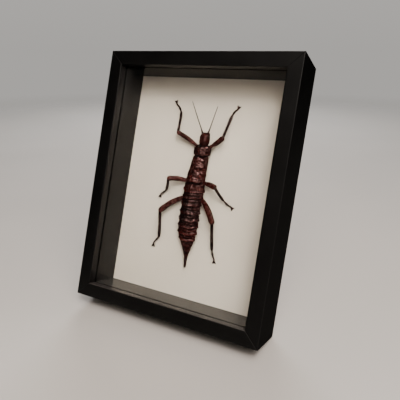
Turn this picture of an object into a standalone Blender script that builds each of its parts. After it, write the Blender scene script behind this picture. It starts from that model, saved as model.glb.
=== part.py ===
"""A large spiny stick insect, dried and set on a white card in a deep black box frame.

Lengths are millimetres and angles are degrees; points become metres when a mesh is made.
Inside the case, x runs across, y runs back from the front face and z runs up the face.
The insect is measured on the card: across, up the card, and height above the card.
The case leans back, so it stands on the rear edge of its bottom rail and on a strut.
"""

import math
import random

import bmesh
import bpy
from mathutils import Vector

MM = 0.001

# Fit between neighbours
GAP = 0.3

# Case
CASE_WIDTH = 208.4
CASE_HEIGHT = 266.0
CASE_DEPTH = 49.2
FACE_WIDTH = 14.4
LIP_DEPTH = 9.0
RAIL_WALL = 9.4
FRONT_CHAMFER = 0.7
GLASS_THICKNESS = 2.0
CARD_FRONT = 43.9
CARD_THICKNESS = 1.5
BOARD_THICKNESS = 3.0
LEAN = 19.74

# Strut behind the case
STRUT_THICKNESS = 5.0
STRUT_TOP_WIDTH = 44.0
STRUT_FOOT_WIDTH = 64.0
STRUT_FOOT_BACK = 62.0
HINGE_HEIGHT = 168.0
HINGE_LENGTH = 26.0
HINGE_THICKNESS = 2.0

# Body of the insect
INSECT_PLACE = (0.6, -1.2)
NECK = 180.8
BODY_SIDES = 24
HEAD_SIDES = 20
SIDE_KEEL = 1.035
BACK_KEEL = 1.03

# Stations along the body: height up the card, middle line, half width, and the heights
# above the card of the belly, of the widest line and of the back
STATIONS = (
    (181.0, 2.2, 6.2, 1.4, 5.4, 10.0),
    (178.5, 1.7, 9.3, 1.0, 5.4, 11.4),
    (171.5, 1.4, 9.2, 0.8, 5.5, 12.3),
    (167.0, 1.0, 9.1, 0.8, 5.5, 12.0),
    (155.0, 0.1, 9.9, 0.6, 5.8, 13.2),
    (143.0, -1.0, 10.3, 0.5, 6.0, 13.9),
    (138.0, -0.8, 11.4, 0.5, 6.0, 14.2),
    (132.0, -0.8, 11.7, 0.5, 6.0, 14.6),
    (124.0, -1.2, 11.1, 0.5, 6.0, 14.9),
    (112.0, -1.6, 11.2, 0.5, 6.2, 15.0),
    (93.0, -1.5, 11.3, 0.5, 6.0, 14.3),
    (84.0, -1.2, 10.4, 0.6, 5.6, 12.8),
    (78.5, -0.8, 8.6, 0.8, 5.0, 11.2),
    (72.5, -0.3, 5.8, 1.2, 4.6, 9.5),
    (67.0, 0.1, 3.6, 1.8, 4.3, 7.8),
    (62.0, 0.4, 1.8, 2.4, 4.0, 6.2),
    (52.5, 0.6, 1.0, 2.6, 3.6, 4.8),
    (50.5, 0.7, 1.15, 2.5, 3.6, 4.9),
    (49.0, 0.7, 0.5, 3.1, 3.6, 4.1),
)

# Segments behind the head: name, height of the rear edge up the card
SEGMENTS = (
    ("pronotum", 170.1),
    ("mesothorax", 141.4),
    ("metathorax", 130.8),
    ("abdomen_1", 124.1),
    ("abdomen_2", 116.2),
    ("abdomen_3", 107.6),
    ("abdomen_4", 100.2),
    ("abdomen_5", 93.1),
    ("abdomen_6", 85.6),
    ("abdomen_7", 78.5),
    ("abdomen_8", 72.5),
    ("abdomen_9", 67.0),
    ("abdomen_10", 62.1),
    ("ovipositor", 49.0),
)

# Swell of a segment along its length, as (share of the length, size), front edge first
PLATE_SWELL = (
    (0.0, 0.945), (0.10, 0.975), (0.28, 1.0), (0.42, 0.985),
    (0.60, 1.005), (0.82, 1.03), (0.93, 1.03), (1.0, 0.985),
)
LONG_SWELL = (
    (0.0, 0.93), (0.08, 0.99), (0.22, 1.01), (0.32, 0.985), (0.45, 1.015),
    (0.56, 0.985), (0.70, 1.02), (0.80, 0.985), (0.93, 1.03), (1.0, 0.96),
)
BEAK_SWELL = ((0.0, 0.96), (0.25, 1.0), (0.5, 1.0), (0.75, 1.0), (0.9, 1.0), (1.0, 1.0))

# Spines on each side of a segment: share of its length, angle up from the side, length
SIDE = 8
SHOULDER = 38
CREST = 66
SEGMENT_SPINES = {
    "pronotum": ((0.30, SIDE, 1.3), (0.62, SIDE, 0.9), (0.5, CREST, 0.8)),
    "mesothorax": (
        (0.12, SIDE, 1.0), (0.33, SIDE, 1.2), (0.55, SIDE, 1.2), (0.77, SIDE, 1.4),
        (0.30, CREST, 0.8), (0.62, CREST, 0.8), (0.93, SHOULDER, 1.0),
    ),
    "metathorax": ((0.25, SIDE, 1.4), (0.72, SIDE, 1.5), (0.85, CREST, 0.9)),
    "abdomen_1": ((0.75, SIDE, 1.2),),
    "abdomen_2": ((0.80, SIDE, 1.3), (0.86, CREST, 0.8)),
    "abdomen_3": ((0.82, SIDE, 1.4), (0.86, CREST, 0.8)),
    "abdomen_4": ((0.82, SIDE, 1.4), (0.86, CREST, 0.8)),
    "abdomen_5": ((0.82, SIDE, 1.5), (0.86, CREST, 0.8)),
    "abdomen_6": ((0.80, SIDE, 1.5), (0.86, CREST, 0.7)),
    "abdomen_7": ((0.78, SIDE, 1.3),),
}

# Head, from the neck to the mouth: the same columns as the stations
HEAD_STATIONS = (
    (NECK + GAP, 2.2, 4.4, 2.6, 5.6, 9.6),
    (182.6, 2.3, 5.1, 2.0, 5.8, 10.6),
    (185.4, 2.4, 5.4, 1.8, 6.0, 11.1),
    (188.0, 2.5, 5.1, 1.8, 6.0, 10.9),
    (190.4, 2.5, 4.8, 1.9, 6.0, 10.3),
    (192.2, 2.5, 4.3, 2.3, 5.8, 9.3),
    (193.3, 2.5, 3.4, 3.0, 5.5, 8.2),
    (193.8, 2.5, 2.2, 3.6, 5.3, 7.2),
)
# Round pieces of the head: out from its middle line, up the card, height, and radii
HEAD_MIDDLE = 2.5
EYE = ((4.5, 189.3, 6.9), (1.2, 1.35, 1.35))
LABRUM = ((0.0, 192.6, 4.9), (2.0, 1.7, 1.5))
JAW = ((1.9, 191.9, 3.5), (1.7, 1.9, 1.5))
SOCKET = ((2.5, 191.2, 7.7), (1.3, 1.4, 1.2))
MOUTH = ((0.0, 193.4, 3.9), (5.4, 1.9, 0.5))
FEELER = ((2.6, 190.4, 2.6), (2.9, 192.5, 1.5), (1.9, 194.3, 1.1))
FEELER_RADII = (0.5, 0.5, 0.42, 0.48, 0.32)
CROWN_SPINES = ((3.4, 186.2, 8.7, 1.1), (1.6, 183.4, 9.7, 1.0))
CROWN_SPINE_RADIUS = 0.7

# Antennae: socket, scape end, middle and tip on the card
ANTENNAE = {
    "left": ((-0.1, 191.6, 7.7), (-2.3, 196.6, 8.4), (-8.7, 208.6, 8.9), (-17.5, 224.6, 8.0)),
    "right": ((5.1, 191.6, 7.7), (7.1, 196.6, 8.4), (9.8, 208.2, 8.9), (12.1, 221.3, 8.0)),
}
SCAPE_RADIUS = 0.72
SCAPE_SHAPE = (0.8, 1.0, 0.95, 0.7, 0.72, 0.72)
WHIP_RADIUS = 0.3
WHIP_SHAPE = (1.25, 0.95)

# Legs: coxa root, hip, knee, ankle, tarsus bend and toe on the card
LEGS = {
    "front_left": (
        (-1.0, 176.0, 3.4), (-7.6, 180.4, 3.6), (-29.9, 191.6, 8.0),
        (-32.0, 214.2, 3.1), (-35.9, 219.8, 2.0), (-41.2, 224.9, 1.4),
    ),
    "front_right": (
        (5.0, 176.0, 3.4), (11.2, 181.2, 4.2), (25.2, 189.8, 11.5),
        (27.8, 214.2, 3.1), (29.8, 219.0, 2.0), (33.2, 223.0, 1.4),
    ),
    "mid_left": (
        (-5.0, 143.6, 3.0), (-11.6, 141.4, 3.6), (-31.1, 140.7, 11.5),
        (-36.0, 127.6, 3.1), (-40.4, 124.2, 2.0), (-44.0, 120.7, 1.4),
    ),
    "mid_right": (
        (3.4, 143.6, 3.0), (10.4, 141.2, 3.6), (26.4, 138.4, 15.1),
        (32.8, 126.5, 3.1), (38.2, 122.8, 2.0), (42.6, 119.9, 1.4),
    ),
    "hind_left": (
        (-4.9, 131.8, 2.9), (-11.0, 123.9, 3.0), (-36.2, 104.4, 9.8),
        (-36.5, 75.2, 3.1), (-40.4, 70.8, 2.0), (-43.6, 65.4, 1.4),
    ),
    "hind_right": (
        (3.2, 132.2, 2.9), (8.8, 124.0, 3.0), (28.3, 101.6, 12.4),
        (28.8, 73.8, 3.1), (30.5, 67.6, 2.0), (32.2, 61.8, 1.4),
    ),
}
# How far the middle of each femur stands off its straight line, across and up the card
FEMUR_BOW = {
    "front_left": (0.2, 0.5), "front_right": (0.1, -0.1),
    "mid_left": (0.0, 0.8), "mid_right": (0.2, 0.5),
    "hind_left": (-0.7, 1.6), "hind_right": (1.0, 0.5),
}
# Which parts of the trunk each pair of legs has to clear
LEG_NEIGHBOURS = {
    "front": ("head", "pronotum", "mesothorax"),
    "mid": ("mesothorax", "metathorax"),
    "hind": ("metathorax", "abdomen_1", "abdomen_2", "abdomen_3"),
}
LEG_RADII = {"front": (2.0, 1.15), "mid": (1.9, 1.1), "hind": (2.4, 1.3)}
COXA_RADIUS = 2.0
COXA_TAPER = (1.0, 1.0, 0.9, 0.82)
# Along a femur: share of its length and share of its radius
FEMUR_SHAPE = (
    (0.0, 0.74), (0.10, 0.86), (0.30, 1.0), (0.55, 1.02), (0.78, 0.92), (0.92, 0.88), (1.0, 0.7),
)
TIBIA_TAPER = (0.9, 1.0, 0.9, 0.92, 0.98, 1.05, 0.8)
# Spines along both edges of a limb: length, and shares of the limb's length
FEMUR_SPINES = (0.6, (0.4, 0.62, 0.84))
TIBIA_SPINES = (0.55, (0.3, 0.5, 0.7, 0.9))
TARSUS_RADIUS = 0.72
TARSUS_SHARES = (0.30, 0.15, 0.13, 0.12, 0.30)
CLAW_LENGTH = 2.2
CLAW_RADIUS = 0.42
CLAW_TAPER = (1.0, 0.95, 0.75, 0.5, 0.25)
LIMB_SIDES = 8
SPINE_SIDES = 5
SPINE_TIP = 0.12
SPINE_SINK = 1.1
SPINE_RAKE = 0.45
LIMB_SPINE_RAKE = 0.7
SMOOTH_ANGLE = 50.0

# Colours: linear red, green, blue
BLACK_PAINT = (0.010, 0.010, 0.011)
CARD_WHITE = (0.74, 0.71, 0.66)
BOARD_BROWN = (0.16, 0.10, 0.06)
SHELL_BROWN = (0.045, 0.014, 0.010)
LEG_BROWN = (0.075, 0.022, 0.014)
TARSUS_BLACK = (0.016, 0.009, 0.007)
EYE_BROWN = (0.030, 0.018, 0.012)
GLASS_CLEAR = (0.90, 0.93, 0.92)


def clear_scene():
    for old in list(bpy.data.objects):
        bpy.data.objects.remove(old, do_unlink=True)


def material(name, colour, roughness, metallic=0.0, alpha=1.0):
    made = bpy.data.materials.new(name)
    made.use_nodes = True
    shader = made.node_tree.nodes["Principled BSDF"]
    shader.inputs["Base Color"].default_value = (*colour, 1.0)
    shader.inputs["Roughness"].default_value = roughness
    shader.inputs["Metallic"].default_value = metallic
    shader.inputs["Alpha"].default_value = alpha
    return made


def on_card(across, up, height):
    """A point of the insect, in the case's own directions."""
    right, raised = INSECT_PLACE
    return Vector((across + right, CARD_FRONT - height, up + raised))


def make(name, points, faces):
    """A closed mesh object in metres, with its faces turned outwards."""
    mesh = bpy.data.meshes.new(name)
    mesh.from_pydata([Vector(p) * MM for p in points], [], faces)
    shell = bmesh.new()
    shell.from_mesh(mesh)
    bmesh.ops.recalc_face_normals(shell, faces=shell.faces)
    shell.to_mesh(mesh)
    shell.free()
    piece = bpy.data.objects.new(name, mesh)
    bpy.context.scene.collection.objects.link(piece)
    return piece


def loft(name, rings):
    """Rings of equal length joined into one skin, with a flat cap on each end."""
    sides = len(rings[0])
    points = [p for ring in rings for p in ring]
    faces = []
    for level in range(len(rings) - 1):
        low, high = level * sides, (level + 1) * sides
        for i in range(sides):
            after = (i + 1) % sides
            faces.append((low + i, low + after, high + after, high + i))
    faces.append(tuple(range(sides)))
    faces.append(tuple(range(len(points) - sides, len(points))))
    return make(name, points, faces)


def remove(piece):
    mesh = piece.data
    bpy.data.objects.remove(piece, do_unlink=True)
    bpy.data.meshes.remove(mesh)


def apply_modifiers(piece):
    graph = bpy.context.evaluated_depsgraph_get()
    result = bpy.data.meshes.new_from_object(piece.evaluated_get(graph))
    old = piece.data
    piece.modifiers.clear()
    piece.data = result
    bpy.data.meshes.remove(old)


def keep_largest(piece):
    """Drops all but the closed surface that holds the most."""
    shell = bmesh.new()
    shell.from_mesh(piece.data)
    bmesh.ops.remove_doubles(shell, verts=shell.verts, dist=0.002 * MM)
    left = set(shell.faces)
    parts = []
    while left:
        found = [left.pop()]
        for face in found:
            near = {other for edge in face.edges for other in edge.link_faces} & left
            left -= near
            found.extend(near)
        parts.append(found)
    parts.sort(key=lambda faces: sum(f.calc_area() for f in faces))
    for faces in parts[:-1]:
        bmesh.ops.delete(shell, geom=faces, context="FACES")
    shell.to_mesh(piece.data)
    shell.free()


def fuse(piece, extras):
    """Joins the extras to the piece with one Boolean and removes them."""
    group = bpy.data.collections.new(piece.name + "_extras")
    bpy.context.scene.collection.children.link(group)
    for extra in extras:
        group.objects.link(extra)
    join = piece.modifiers.new("join", "BOOLEAN")
    join.operation = "UNION"
    join.operand_type = "COLLECTION"
    join.collection = group
    apply_modifiers(piece)
    for extra in extras:
        remove(extra)
    bpy.data.collections.remove(group)
    keep_largest(piece)
    return piece


def grown(piece, by=GAP):
    """A copy whose faces all stand out by the fit."""
    copy = bpy.data.objects.new(piece.name + "_grown", piece.data.copy())
    bpy.context.scene.collection.objects.link(copy)
    shell = bmesh.new()
    shell.from_mesh(copy.data)
    shell.normal_update()
    moves = [v.normal * by * MM * min(v.calc_shell_factor(), 1.6) for v in shell.verts]
    for vertex, move in zip(shell.verts, moves):
        vertex.co += move
    shell.to_mesh(copy.data)
    shell.free()
    return copy


def clear_of(piece, neighbours):
    """Cuts the piece back so that it keeps the fit to each neighbour."""
    for neighbour in neighbours:
        cutter = grown(neighbour)
        cut = piece.modifiers.new("cut", "BOOLEAN")
        cut.operation = "DIFFERENCE"
        cut.solver = "MANIFOLD"
        cut.object = cutter
        apply_modifiers(piece)
        remove(cutter)
    keep_largest(piece)
    return piece


def between(table, at):
    """The row of a table at this height, in a straight line between its neighbours."""
    rows = sorted(table)
    if at <= rows[0][0]:
        return rows[0][1:]
    for low, high in zip(rows, rows[1:]):
        if at <= high[0]:
            share = (at - low[0]) / (high[0] - low[0])
            return tuple(a + (b - a) * share for a, b in zip(low[1:], high[1:]))
    return rows[-1][1:]


def power(value, exponent):
    return math.copysign(abs(value) ** exponent, value)


def section_point(station, angle, swell=1.0):
    """A point on the outline across the body: 0 at its right side, 90 on its back."""
    middle, half_width, belly, waist, back = station
    turn = math.radians(angle)
    upper = math.sin(turn) >= 0
    reach = back - waist if upper else waist - belly
    round_off = 1.08 if upper else 0.95
    if abs(math.cos(turn)) > 0.999:
        half_width *= SIDE_KEEL
    if math.sin(turn) > 0.999:
        reach *= BACK_KEEL
    across = half_width * swell * power(math.cos(turn), round_off)
    height = waist + reach * swell * power(math.sin(turn), round_off)
    return middle + across, max(height, GAP)


def section(table, up, sides, swell=1.0):
    station = between(table, up)
    turns = (360.0 * i / sides for i in range(sides))
    return [on_card(x, up, h) for x, h in (section_point(station, a, swell) for a in turns)]


def spine(base, tip, radius):
    """A small pointed cone of few sides, with a blunt tip."""
    base, tip = Vector(base), Vector(tip)
    along = (tip - base).normalized()
    side = along.orthogonal().normalized()
    other = along.cross(side)
    rings = []
    for centre, size in ((base, radius), (tip, SPINE_TIP)):
        ring = []
        for i in range(SPINE_SIDES):
            turn = math.tau * i / SPINE_SIDES
            ring.append(centre + (side * math.cos(turn) + other * math.sin(turn)) * size)
        rings.append(ring)
    return loft("spine", rings)


def segment_spines(name, front, rear, draw):
    """Spines in pairs, set on the flanks and the back and leaning to the rear."""
    made = []
    for share, angle, length in SEGMENT_SPINES.get(name, ()):
        for turned in (angle, 180 - angle):
            up = front + (rear - front) * share
            station = between(STATIONS, up)
            x, h = section_point(station, turned)
            inner_x, inner_h = section_point(station, turned, 0.8)
            out = Vector((x - inner_x, 0.0, h - inner_h)).normalized()
            reach = length * draw.uniform(0.85, 1.15)
            low = max(h - out.z * SPINE_SINK, SPINE_SINK)
            root = on_card(x - out.x * SPINE_SINK, up + GAP, low)
            tip = on_card(x + out.x * reach, up - SPINE_RAKE * reach, h + out.z * reach)
            made.append(spine(root, tip, 0.35 + 0.55 * length))
    return made


def trunk():
    """Every segment from the pronotum to the tip, each cut square to the card."""
    shell = material("shell", SHELL_BROWN, 0.38)
    draw = random.Random(11)
    front = NECK
    segments = {}
    for name, rear in SEGMENTS:
        swells = PLATE_SWELL
        if name == "mesothorax":
            swells = LONG_SWELL
        if name == "ovipositor":
            swells = BEAK_SWELL
        start = front - GAP / 2
        end = rear + (GAP / 2 if name != "ovipositor" else 0.0)
        rings = []
        for share, swell in swells:
            up = start + (end - start) * share
            rings.append(section(STATIONS, up, BODY_SIDES, swell))
        piece = loft(name, rings)
        fuse(piece, segment_spines(name, start, end, draw))
        piece.data.materials.append(shell)
        segments[name] = piece
        front = rear
    return segments


def ball(name, centre, radii, turns=10, levels=7):
    """An egg shape, its radii given across, up the card and above the card."""
    rings = []
    for level in range(levels):
        lift = math.pi * (level + 0.5) / levels
        ring = []
        for i in range(turns):
            turn = math.tau * i / turns
            ring.append(on_card(
                centre[0] + radii[0] * math.sin(lift) * math.cos(turn),
                centre[1] + radii[1] * math.cos(lift),
                centre[2] + radii[2] * math.sin(lift) * math.sin(turn),
            ))
        rings.append(ring)
    return loft(name, rings)


def path_through(points, steps):
    """Points on a smooth line through the given ones, evenly shared between them."""
    knots = [Vector(p) for p in points]
    knots = [knots[0] * 2 - knots[1], *knots, knots[-1] * 2 - knots[-2]]
    line = []
    for a, b, c, d in zip(knots, knots[1:], knots[2:], knots[3:]):
        for i in range(steps):
            t = i / steps
            line.append(0.5 * (
                2 * b + (c - a) * t + (2 * a - 5 * b + 4 * c - d) * t * t
                + (3 * b - a - 3 * c + d) * t ** 3
            ))
    line.append(knots[-2])
    return line


def tube(name, line, radii, sides=LIMB_SIDES, flat=1.0):
    """A skin round a line. Its rings are square to it and may be flatter off the card."""
    rings = []
    for i, centre in enumerate(line):
        before, after = line[max(i - 1, 0)], line[min(i + 1, len(line) - 1)]
        along = (after - before).normalized()
        across = along.cross(Vector((0.0, 1.0, 0.0))).normalized()
        lift = across.cross(along).normalized()
        ring = []
        for k in range(sides):
            turn = math.tau * (k + 0.5) / sides
            offset = across * math.cos(turn) + lift * math.sin(turn) * flat
            ring.append(centre + offset * radii[i])
        rings.append(ring)
    return loft(name, rings)


def on_head(name, side, shape, turns=10, levels=7):
    """A ball beside the head's middle line, on its left (-1) or its right (1)."""
    (out, up, height), radii = shape
    return ball(name, (HEAD_MIDDLE + side * out, up, height), radii, turns, levels)


def head():
    """The head with its sockets, mouth line, mandibles, feelers and crown spines."""
    shell = material("head_shell", SHELL_BROWN, 0.36)
    rings = [section(HEAD_STATIONS, row[0], HEAD_SIDES) for row in HEAD_STATIONS]
    piece = loft("head", rings)
    extras = [on_head("labrum", 1, LABRUM)]
    for side in (-1, 1):
        extras.append(on_head("jaw", side, JAW))
        extras.append(on_head("socket", side, SOCKET))
        knots = [on_card(HEAD_MIDDLE + side * out, up, height) for out, up, height in FEELER]
        extras.append(tube("feeler", path_through(knots, 2), FEELER_RADII, 6))
        for out, up, height, length in CROWN_SPINES:
            root = on_card(HEAD_MIDDLE + side * out * 0.8, up + 0.4, height - 0.7)
            tip = on_card(HEAD_MIDDLE + side * out * 1.2, up - 0.6, height + length)
            extras.append(spine(root, tip, CROWN_SPINE_RADIUS))
    fuse(piece, extras)
    mouth = on_head("mouth", 1, MOUTH, 12, 6)
    clear_of(piece, [mouth])
    remove(mouth)
    piece.data.materials.append(shell)
    return piece


def eyes(skull):
    """Each eye sits in its own socket, sunk for more than half of its width."""
    glossy = material("eye", EYE_BROWN, 0.18)
    for label, side in (("left", -1), ("right", 1)):
        piece = on_head("eye_" + label, side, EYE, 12, 9)
        clear_of(skull, [piece])
        piece.data.materials.append(glossy)


def antennae(skull):
    """A stout scape and pedicel, then a thin whip of many joints."""
    dark = material("antenna", TARSUS_BLACK, 0.45)
    for label, (root, scape_end, middle, tip) in ANTENNAE.items():
        knots = [on_card(*p) for p in (root, scape_end, middle, tip)]
        line = path_through(knots, 5)
        radii = [SCAPE_RADIUS * share for share in SCAPE_SHAPE]
        for i in range(len(radii), len(line)):
            radii.append(WHIP_RADIUS * WHIP_SHAPE[i % 2])
        piece = tube("antenna_" + label, line, radii, 6)
        clear_of(piece, [skull])
        piece.data.materials.append(dark)


def straight(start, end, count):
    return [start.lerp(end, i / (count - 1)) for i in range(count)]


def limb_spines(line, radius, spines, draw):
    """Short spines along both edges of a limb, seen in outline from above."""
    length, shares = spines
    made = []
    start, end = line[0], line[-1]
    along = (end - start).normalized()
    across = along.cross(Vector((0.0, 1.0, 0.0))).normalized()
    for side in (-1, 1):
        for share in shares:
            share = share + draw.uniform(-0.02, 0.02)
            step = share * (len(line) - 1)
            low = min(int(step), len(line) - 2)
            centre = line[low].lerp(line[low + 1], step - low)
            out = across * side
            root = centre + out * radius * 0.3
            reach = radius + length * draw.uniform(0.8, 1.2)
            tip = centre + out * reach + along * LIMB_SPINE_RAKE
            made.append(spine(root, tip, 0.42 * radius + 0.15))
    return made


def tarsus(name, points):
    """Five joints, each swollen at its far end, with a pad and two hooked claws."""
    line = path_through(points, 8)
    total = len(line) - 1
    marks, radii = [], []
    reach = 0.0
    for share in TARSUS_SHARES:
        for inner, size in ((0.0, 0.72), (0.72, 1.12)):
            marks.append(reach + share * inner)
            radii.append(TARSUS_RADIUS * size)
        reach += share
    marks.append(1.0)
    radii.append(TARSUS_RADIUS * 0.75)
    centres = []
    for mark in marks:
        step = mark * total
        low = min(int(step), total - 1)
        centres.append(line[low].lerp(line[low + 1], step - low))
    piece = tube(name, centres, radii, 6, 0.85)
    toe = centres[-1]
    along = (centres[-1] - centres[-2]).normalized()
    across = along.cross(Vector((0.0, 1.0, 0.0))).normalized()
    claws = []
    for side in (-1, 1):
        knots = [
            toe - along * 0.5 + across * side * 0.2,
            toe + along * CLAW_LENGTH * 0.45 + across * side * 0.75,
            toe + along * CLAW_LENGTH * 0.75 + across * side * 1.5,
        ]
        claw = path_through(knots, 2)
        sizes = [CLAW_RADIUS * s for s in CLAW_TAPER]
        claws.append(tube("claw", claw, sizes, 5))
    return fuse(piece, claws)


def leg(label, joints, trunk_parts, coats):
    """One leg: coxa, femur, tibia and tarsus, each cut clear of the one before it."""
    pair = label.split("_")[0]
    root, hip, knee, ankle, bend, toe = (on_card(*p) for p in joints)
    thigh, shin = LEG_RADII[pair]
    draw = random.Random(label)
    neighbours = [trunk_parts[name] for name in LEG_NEIGHBOURS[pair]]

    sizes = [COXA_RADIUS * s for s in COXA_TAPER]
    line = straight(root, hip, len(sizes))
    coxa = tube("coxa_" + label, line, sizes, LIMB_SIDES, 0.9)
    clear_of(coxa, neighbours)

    start = hip + (knee - hip).normalized() * GAP
    across, up = FEMUR_BOW[label]
    bow = Vector((across, 0.0, up)) * 4
    line = [start.lerp(knee, t) + bow * t * (1 - t) for t, _ in FEMUR_SHAPE]
    femur = tube("femur_" + label, line, [thigh * s for _, s in FEMUR_SHAPE])
    fuse(femur, limb_spines(line, thigh, FEMUR_SPINES, draw))
    clear_of(femur, [coxa] + neighbours)

    line = straight(knee, ankle, len(TIBIA_TAPER))
    tibia = tube("tibia_" + label, line, [shin * s for s in TIBIA_TAPER])
    fuse(tibia, limb_spines(line, shin, TIBIA_SPINES, draw))
    clear_of(tibia, [femur] + neighbours)

    foot = tarsus("tarsus_" + label, [ankle, bend, toe])
    clear_of(foot, [tibia])

    for piece, coat in ((coxa, 0), (femur, 0), (tibia, 1), (foot, 1)):
        piece.data.materials.append(coats[coat])


def mitred(name, run, profile, corner_across, corner_up):
    """One side of a frame. The profile gives distance in from the outer edge and depth.

    run is "top", "bottom", "left" or "right"; the ends are cut on the diagonal.
    """
    inset = GAP / 2 * math.sqrt(2)
    ends = []
    for sign in (-1, 1):
        ring = []
        for inward, depth in profile:
            if run in ("top", "bottom"):
                x = sign * (corner_across - inward - inset)
                z = inward if run == "bottom" else CASE_HEIGHT - inward
                z += corner_up if run == "bottom" else -corner_up
            else:
                x = corner_across - inward
                x = x if run == "right" else -x
                middle = CASE_HEIGHT / 2
                z = middle + sign * (middle - corner_up - inward - inset)
            ring.append((x, depth, z))
        ends.append(ring)
    return loft(name, ends)


def case():
    """Rails, glass, inner walls, card and back board, in the case's own directions."""
    black = material("black_paint", BLACK_PAINT, 0.42)
    c = FRONT_CHAMFER
    rail = (
        (0.0, c), (c, 0.0), (FACE_WIDTH - c, 0.0), (FACE_WIDTH, c),
        (FACE_WIDTH, LIP_DEPTH), (RAIL_WALL, LIP_DEPTH),
        (RAIL_WALL, CASE_DEPTH), (0.0, CASE_DEPTH),
    )
    rebate = RAIL_WALL + GAP
    glass_front = LIP_DEPTH + GAP
    wall_front = glass_front + GLASS_THICKNESS + GAP
    wall_back = CARD_FRONT - GAP
    wall = (
        (0.0, wall_front), (FACE_WIDTH - rebate, wall_front),
        (FACE_WIDTH - rebate, wall_back), (0.0, wall_back),
    )
    pieces = []
    for run in ("top", "bottom", "left", "right"):
        pieces.append(mitred("rail_" + run, run, rail, CASE_WIDTH / 2, 0.0))
        pieces.append(mitred("spacer_" + run, run, wall, CASE_WIDTH / 2 - rebate, rebate))
    for piece in pieces:
        piece.data.materials.append(black)

    board_front = CARD_FRONT + CARD_THICKNESS + GAP
    sheets = (
        ("glass", glass_front, GLASS_THICKNESS, material("glass", GLASS_CLEAR, 0.03, 0.0, 0.3)),
        ("backing_card", CARD_FRONT, CARD_THICKNESS, material("card", CARD_WHITE, 0.8)),
        ("back_board", board_front, BOARD_THICKNESS, material("board", BOARD_BROWN, 0.75)),
    )
    for name, front, thickness, coat in sheets:
        x = CASE_WIDTH / 2 - rebate
        low, high = rebate, CASE_HEIGHT - rebate
        rings = []
        for depth in (front, front + thickness):
            rings.append([(-x, depth, low), (x, depth, low), (x, depth, high), (-x, depth, high)])
        piece = loft(name, rings)
        piece.data.materials.append(coat)
        pieces.append(piece)
    return pieces, board_front + BOARD_THICKNESS


def leaned(y, z):
    """The case's side view turned back about its front lower corner."""
    lean = math.radians(LEAN)
    return y * math.cos(lean) + z * math.sin(lean), z * math.cos(lean) - y * math.sin(lean)


def stood(y, z):
    """Where a point of the case's side view comes to rest: midway in depth, on the floor."""
    foremost = leaned(0.0, FRONT_CHAMFER)[0]
    rearmost = leaned(CASE_DEPTH, CASE_HEIGHT)[0]
    lowest = leaned(CASE_DEPTH, 0.0)[1]
    back, up = leaned(y, z)
    return back - (foremost + rearmost) / 2, up - lowest


def strut(board_back):
    """An easel strut: a hinge plate on the back board and a flat leg down to the floor."""
    coat = material("strut_paint", BLACK_PAINT, 0.6)
    plate_front = board_back + GAP
    plate_back = plate_front + HINGE_THICKNESS
    half = STRUT_TOP_WIDTH / 2
    rings = []
    for depth in (plate_front, plate_back):
        corners = ((-half, 0.0), (half, 0.0), (half, HINGE_LENGTH), (-half, HINGE_LENGTH))
        rings.append([(x, *stood(depth, HINGE_HEIGHT + up)) for x, up in corners])
    plate = loft("stand_hinge", rings)

    top_y, top_z = stood(plate_back + GAP, HINGE_HEIGHT + HINGE_LENGTH / 2)
    slope = (STRUT_FOOT_BACK - top_y) / top_z
    spread = math.radians(LEAN) + math.atan(slope)
    cut = STRUT_THICKNESS / math.sin(spread)
    low_y, low_z = stood(plate_back + GAP, HINGE_HEIGHT + HINGE_LENGTH / 2 - cut)
    rings = []
    for y, z in ((top_y, top_z), (low_y, low_z)):
        foot = y + z * slope
        rings.append([
            (-half, y, z), (half, y, z),
            (STRUT_FOOT_WIDTH / 2, foot, 0.0), (-STRUT_FOOT_WIDTH / 2, foot, 0.0),
        ])
    prop = loft("stand_strut", rings)
    for piece in (plate, prop):
        piece.data.materials.append(coat)


def insect():
    trunk_parts = trunk()
    skull = head()
    eyes(skull)
    antennae(skull)
    trunk_parts["head"] = skull
    coats = (material("femur", LEG_BROWN, 0.4), material("shin", TARSUS_BLACK, 0.42))
    for label, joints in LEGS.items():
        leg(label, joints, trunk_parts, coats)


def lean_back(pieces):
    """Hangs the case and the insect on one empty that leans them back."""
    holder = bpy.data.objects.new("case_lean", None)
    bpy.context.scene.collection.objects.link(holder)
    y, z = stood(0.0, 0.0)
    holder.location = (0.0, y * MM, z * MM)
    holder.rotation_euler.x = -math.radians(LEAN)
    for piece in pieces:
        piece.parent = holder


def main():
    clear_scene()
    flat_pieces, board_back = case()
    insect()
    inside = [o for o in bpy.data.objects if o.type == "MESH"]
    for piece in inside:
        if piece not in flat_pieces:
            piece.data.shade_smooth()
            piece.data.set_sharp_from_angle(angle=math.radians(SMOOTH_ANGLE))
    lean_back(inside)
    strut(board_back)


main()
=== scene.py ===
import math

import bmesh
import bpy
import numpy as np
from mathutils import Matrix, Vector


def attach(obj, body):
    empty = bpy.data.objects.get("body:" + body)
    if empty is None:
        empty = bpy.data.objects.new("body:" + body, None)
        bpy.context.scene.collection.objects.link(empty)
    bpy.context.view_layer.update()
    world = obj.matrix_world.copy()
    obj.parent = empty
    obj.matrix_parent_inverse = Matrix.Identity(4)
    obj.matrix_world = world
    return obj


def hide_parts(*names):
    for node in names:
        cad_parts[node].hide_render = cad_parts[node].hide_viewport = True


# A large spiny stick insect, dried and set on a white card in a deep black box frame.
# Lengths are millimetres and angles are degrees; pieces become metres when they are put in place.
# Inside the case, x runs across, y runs back from the front face and z runs up the face.
# The insect is measured on the card: across, up the card, and height above the card.

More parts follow.
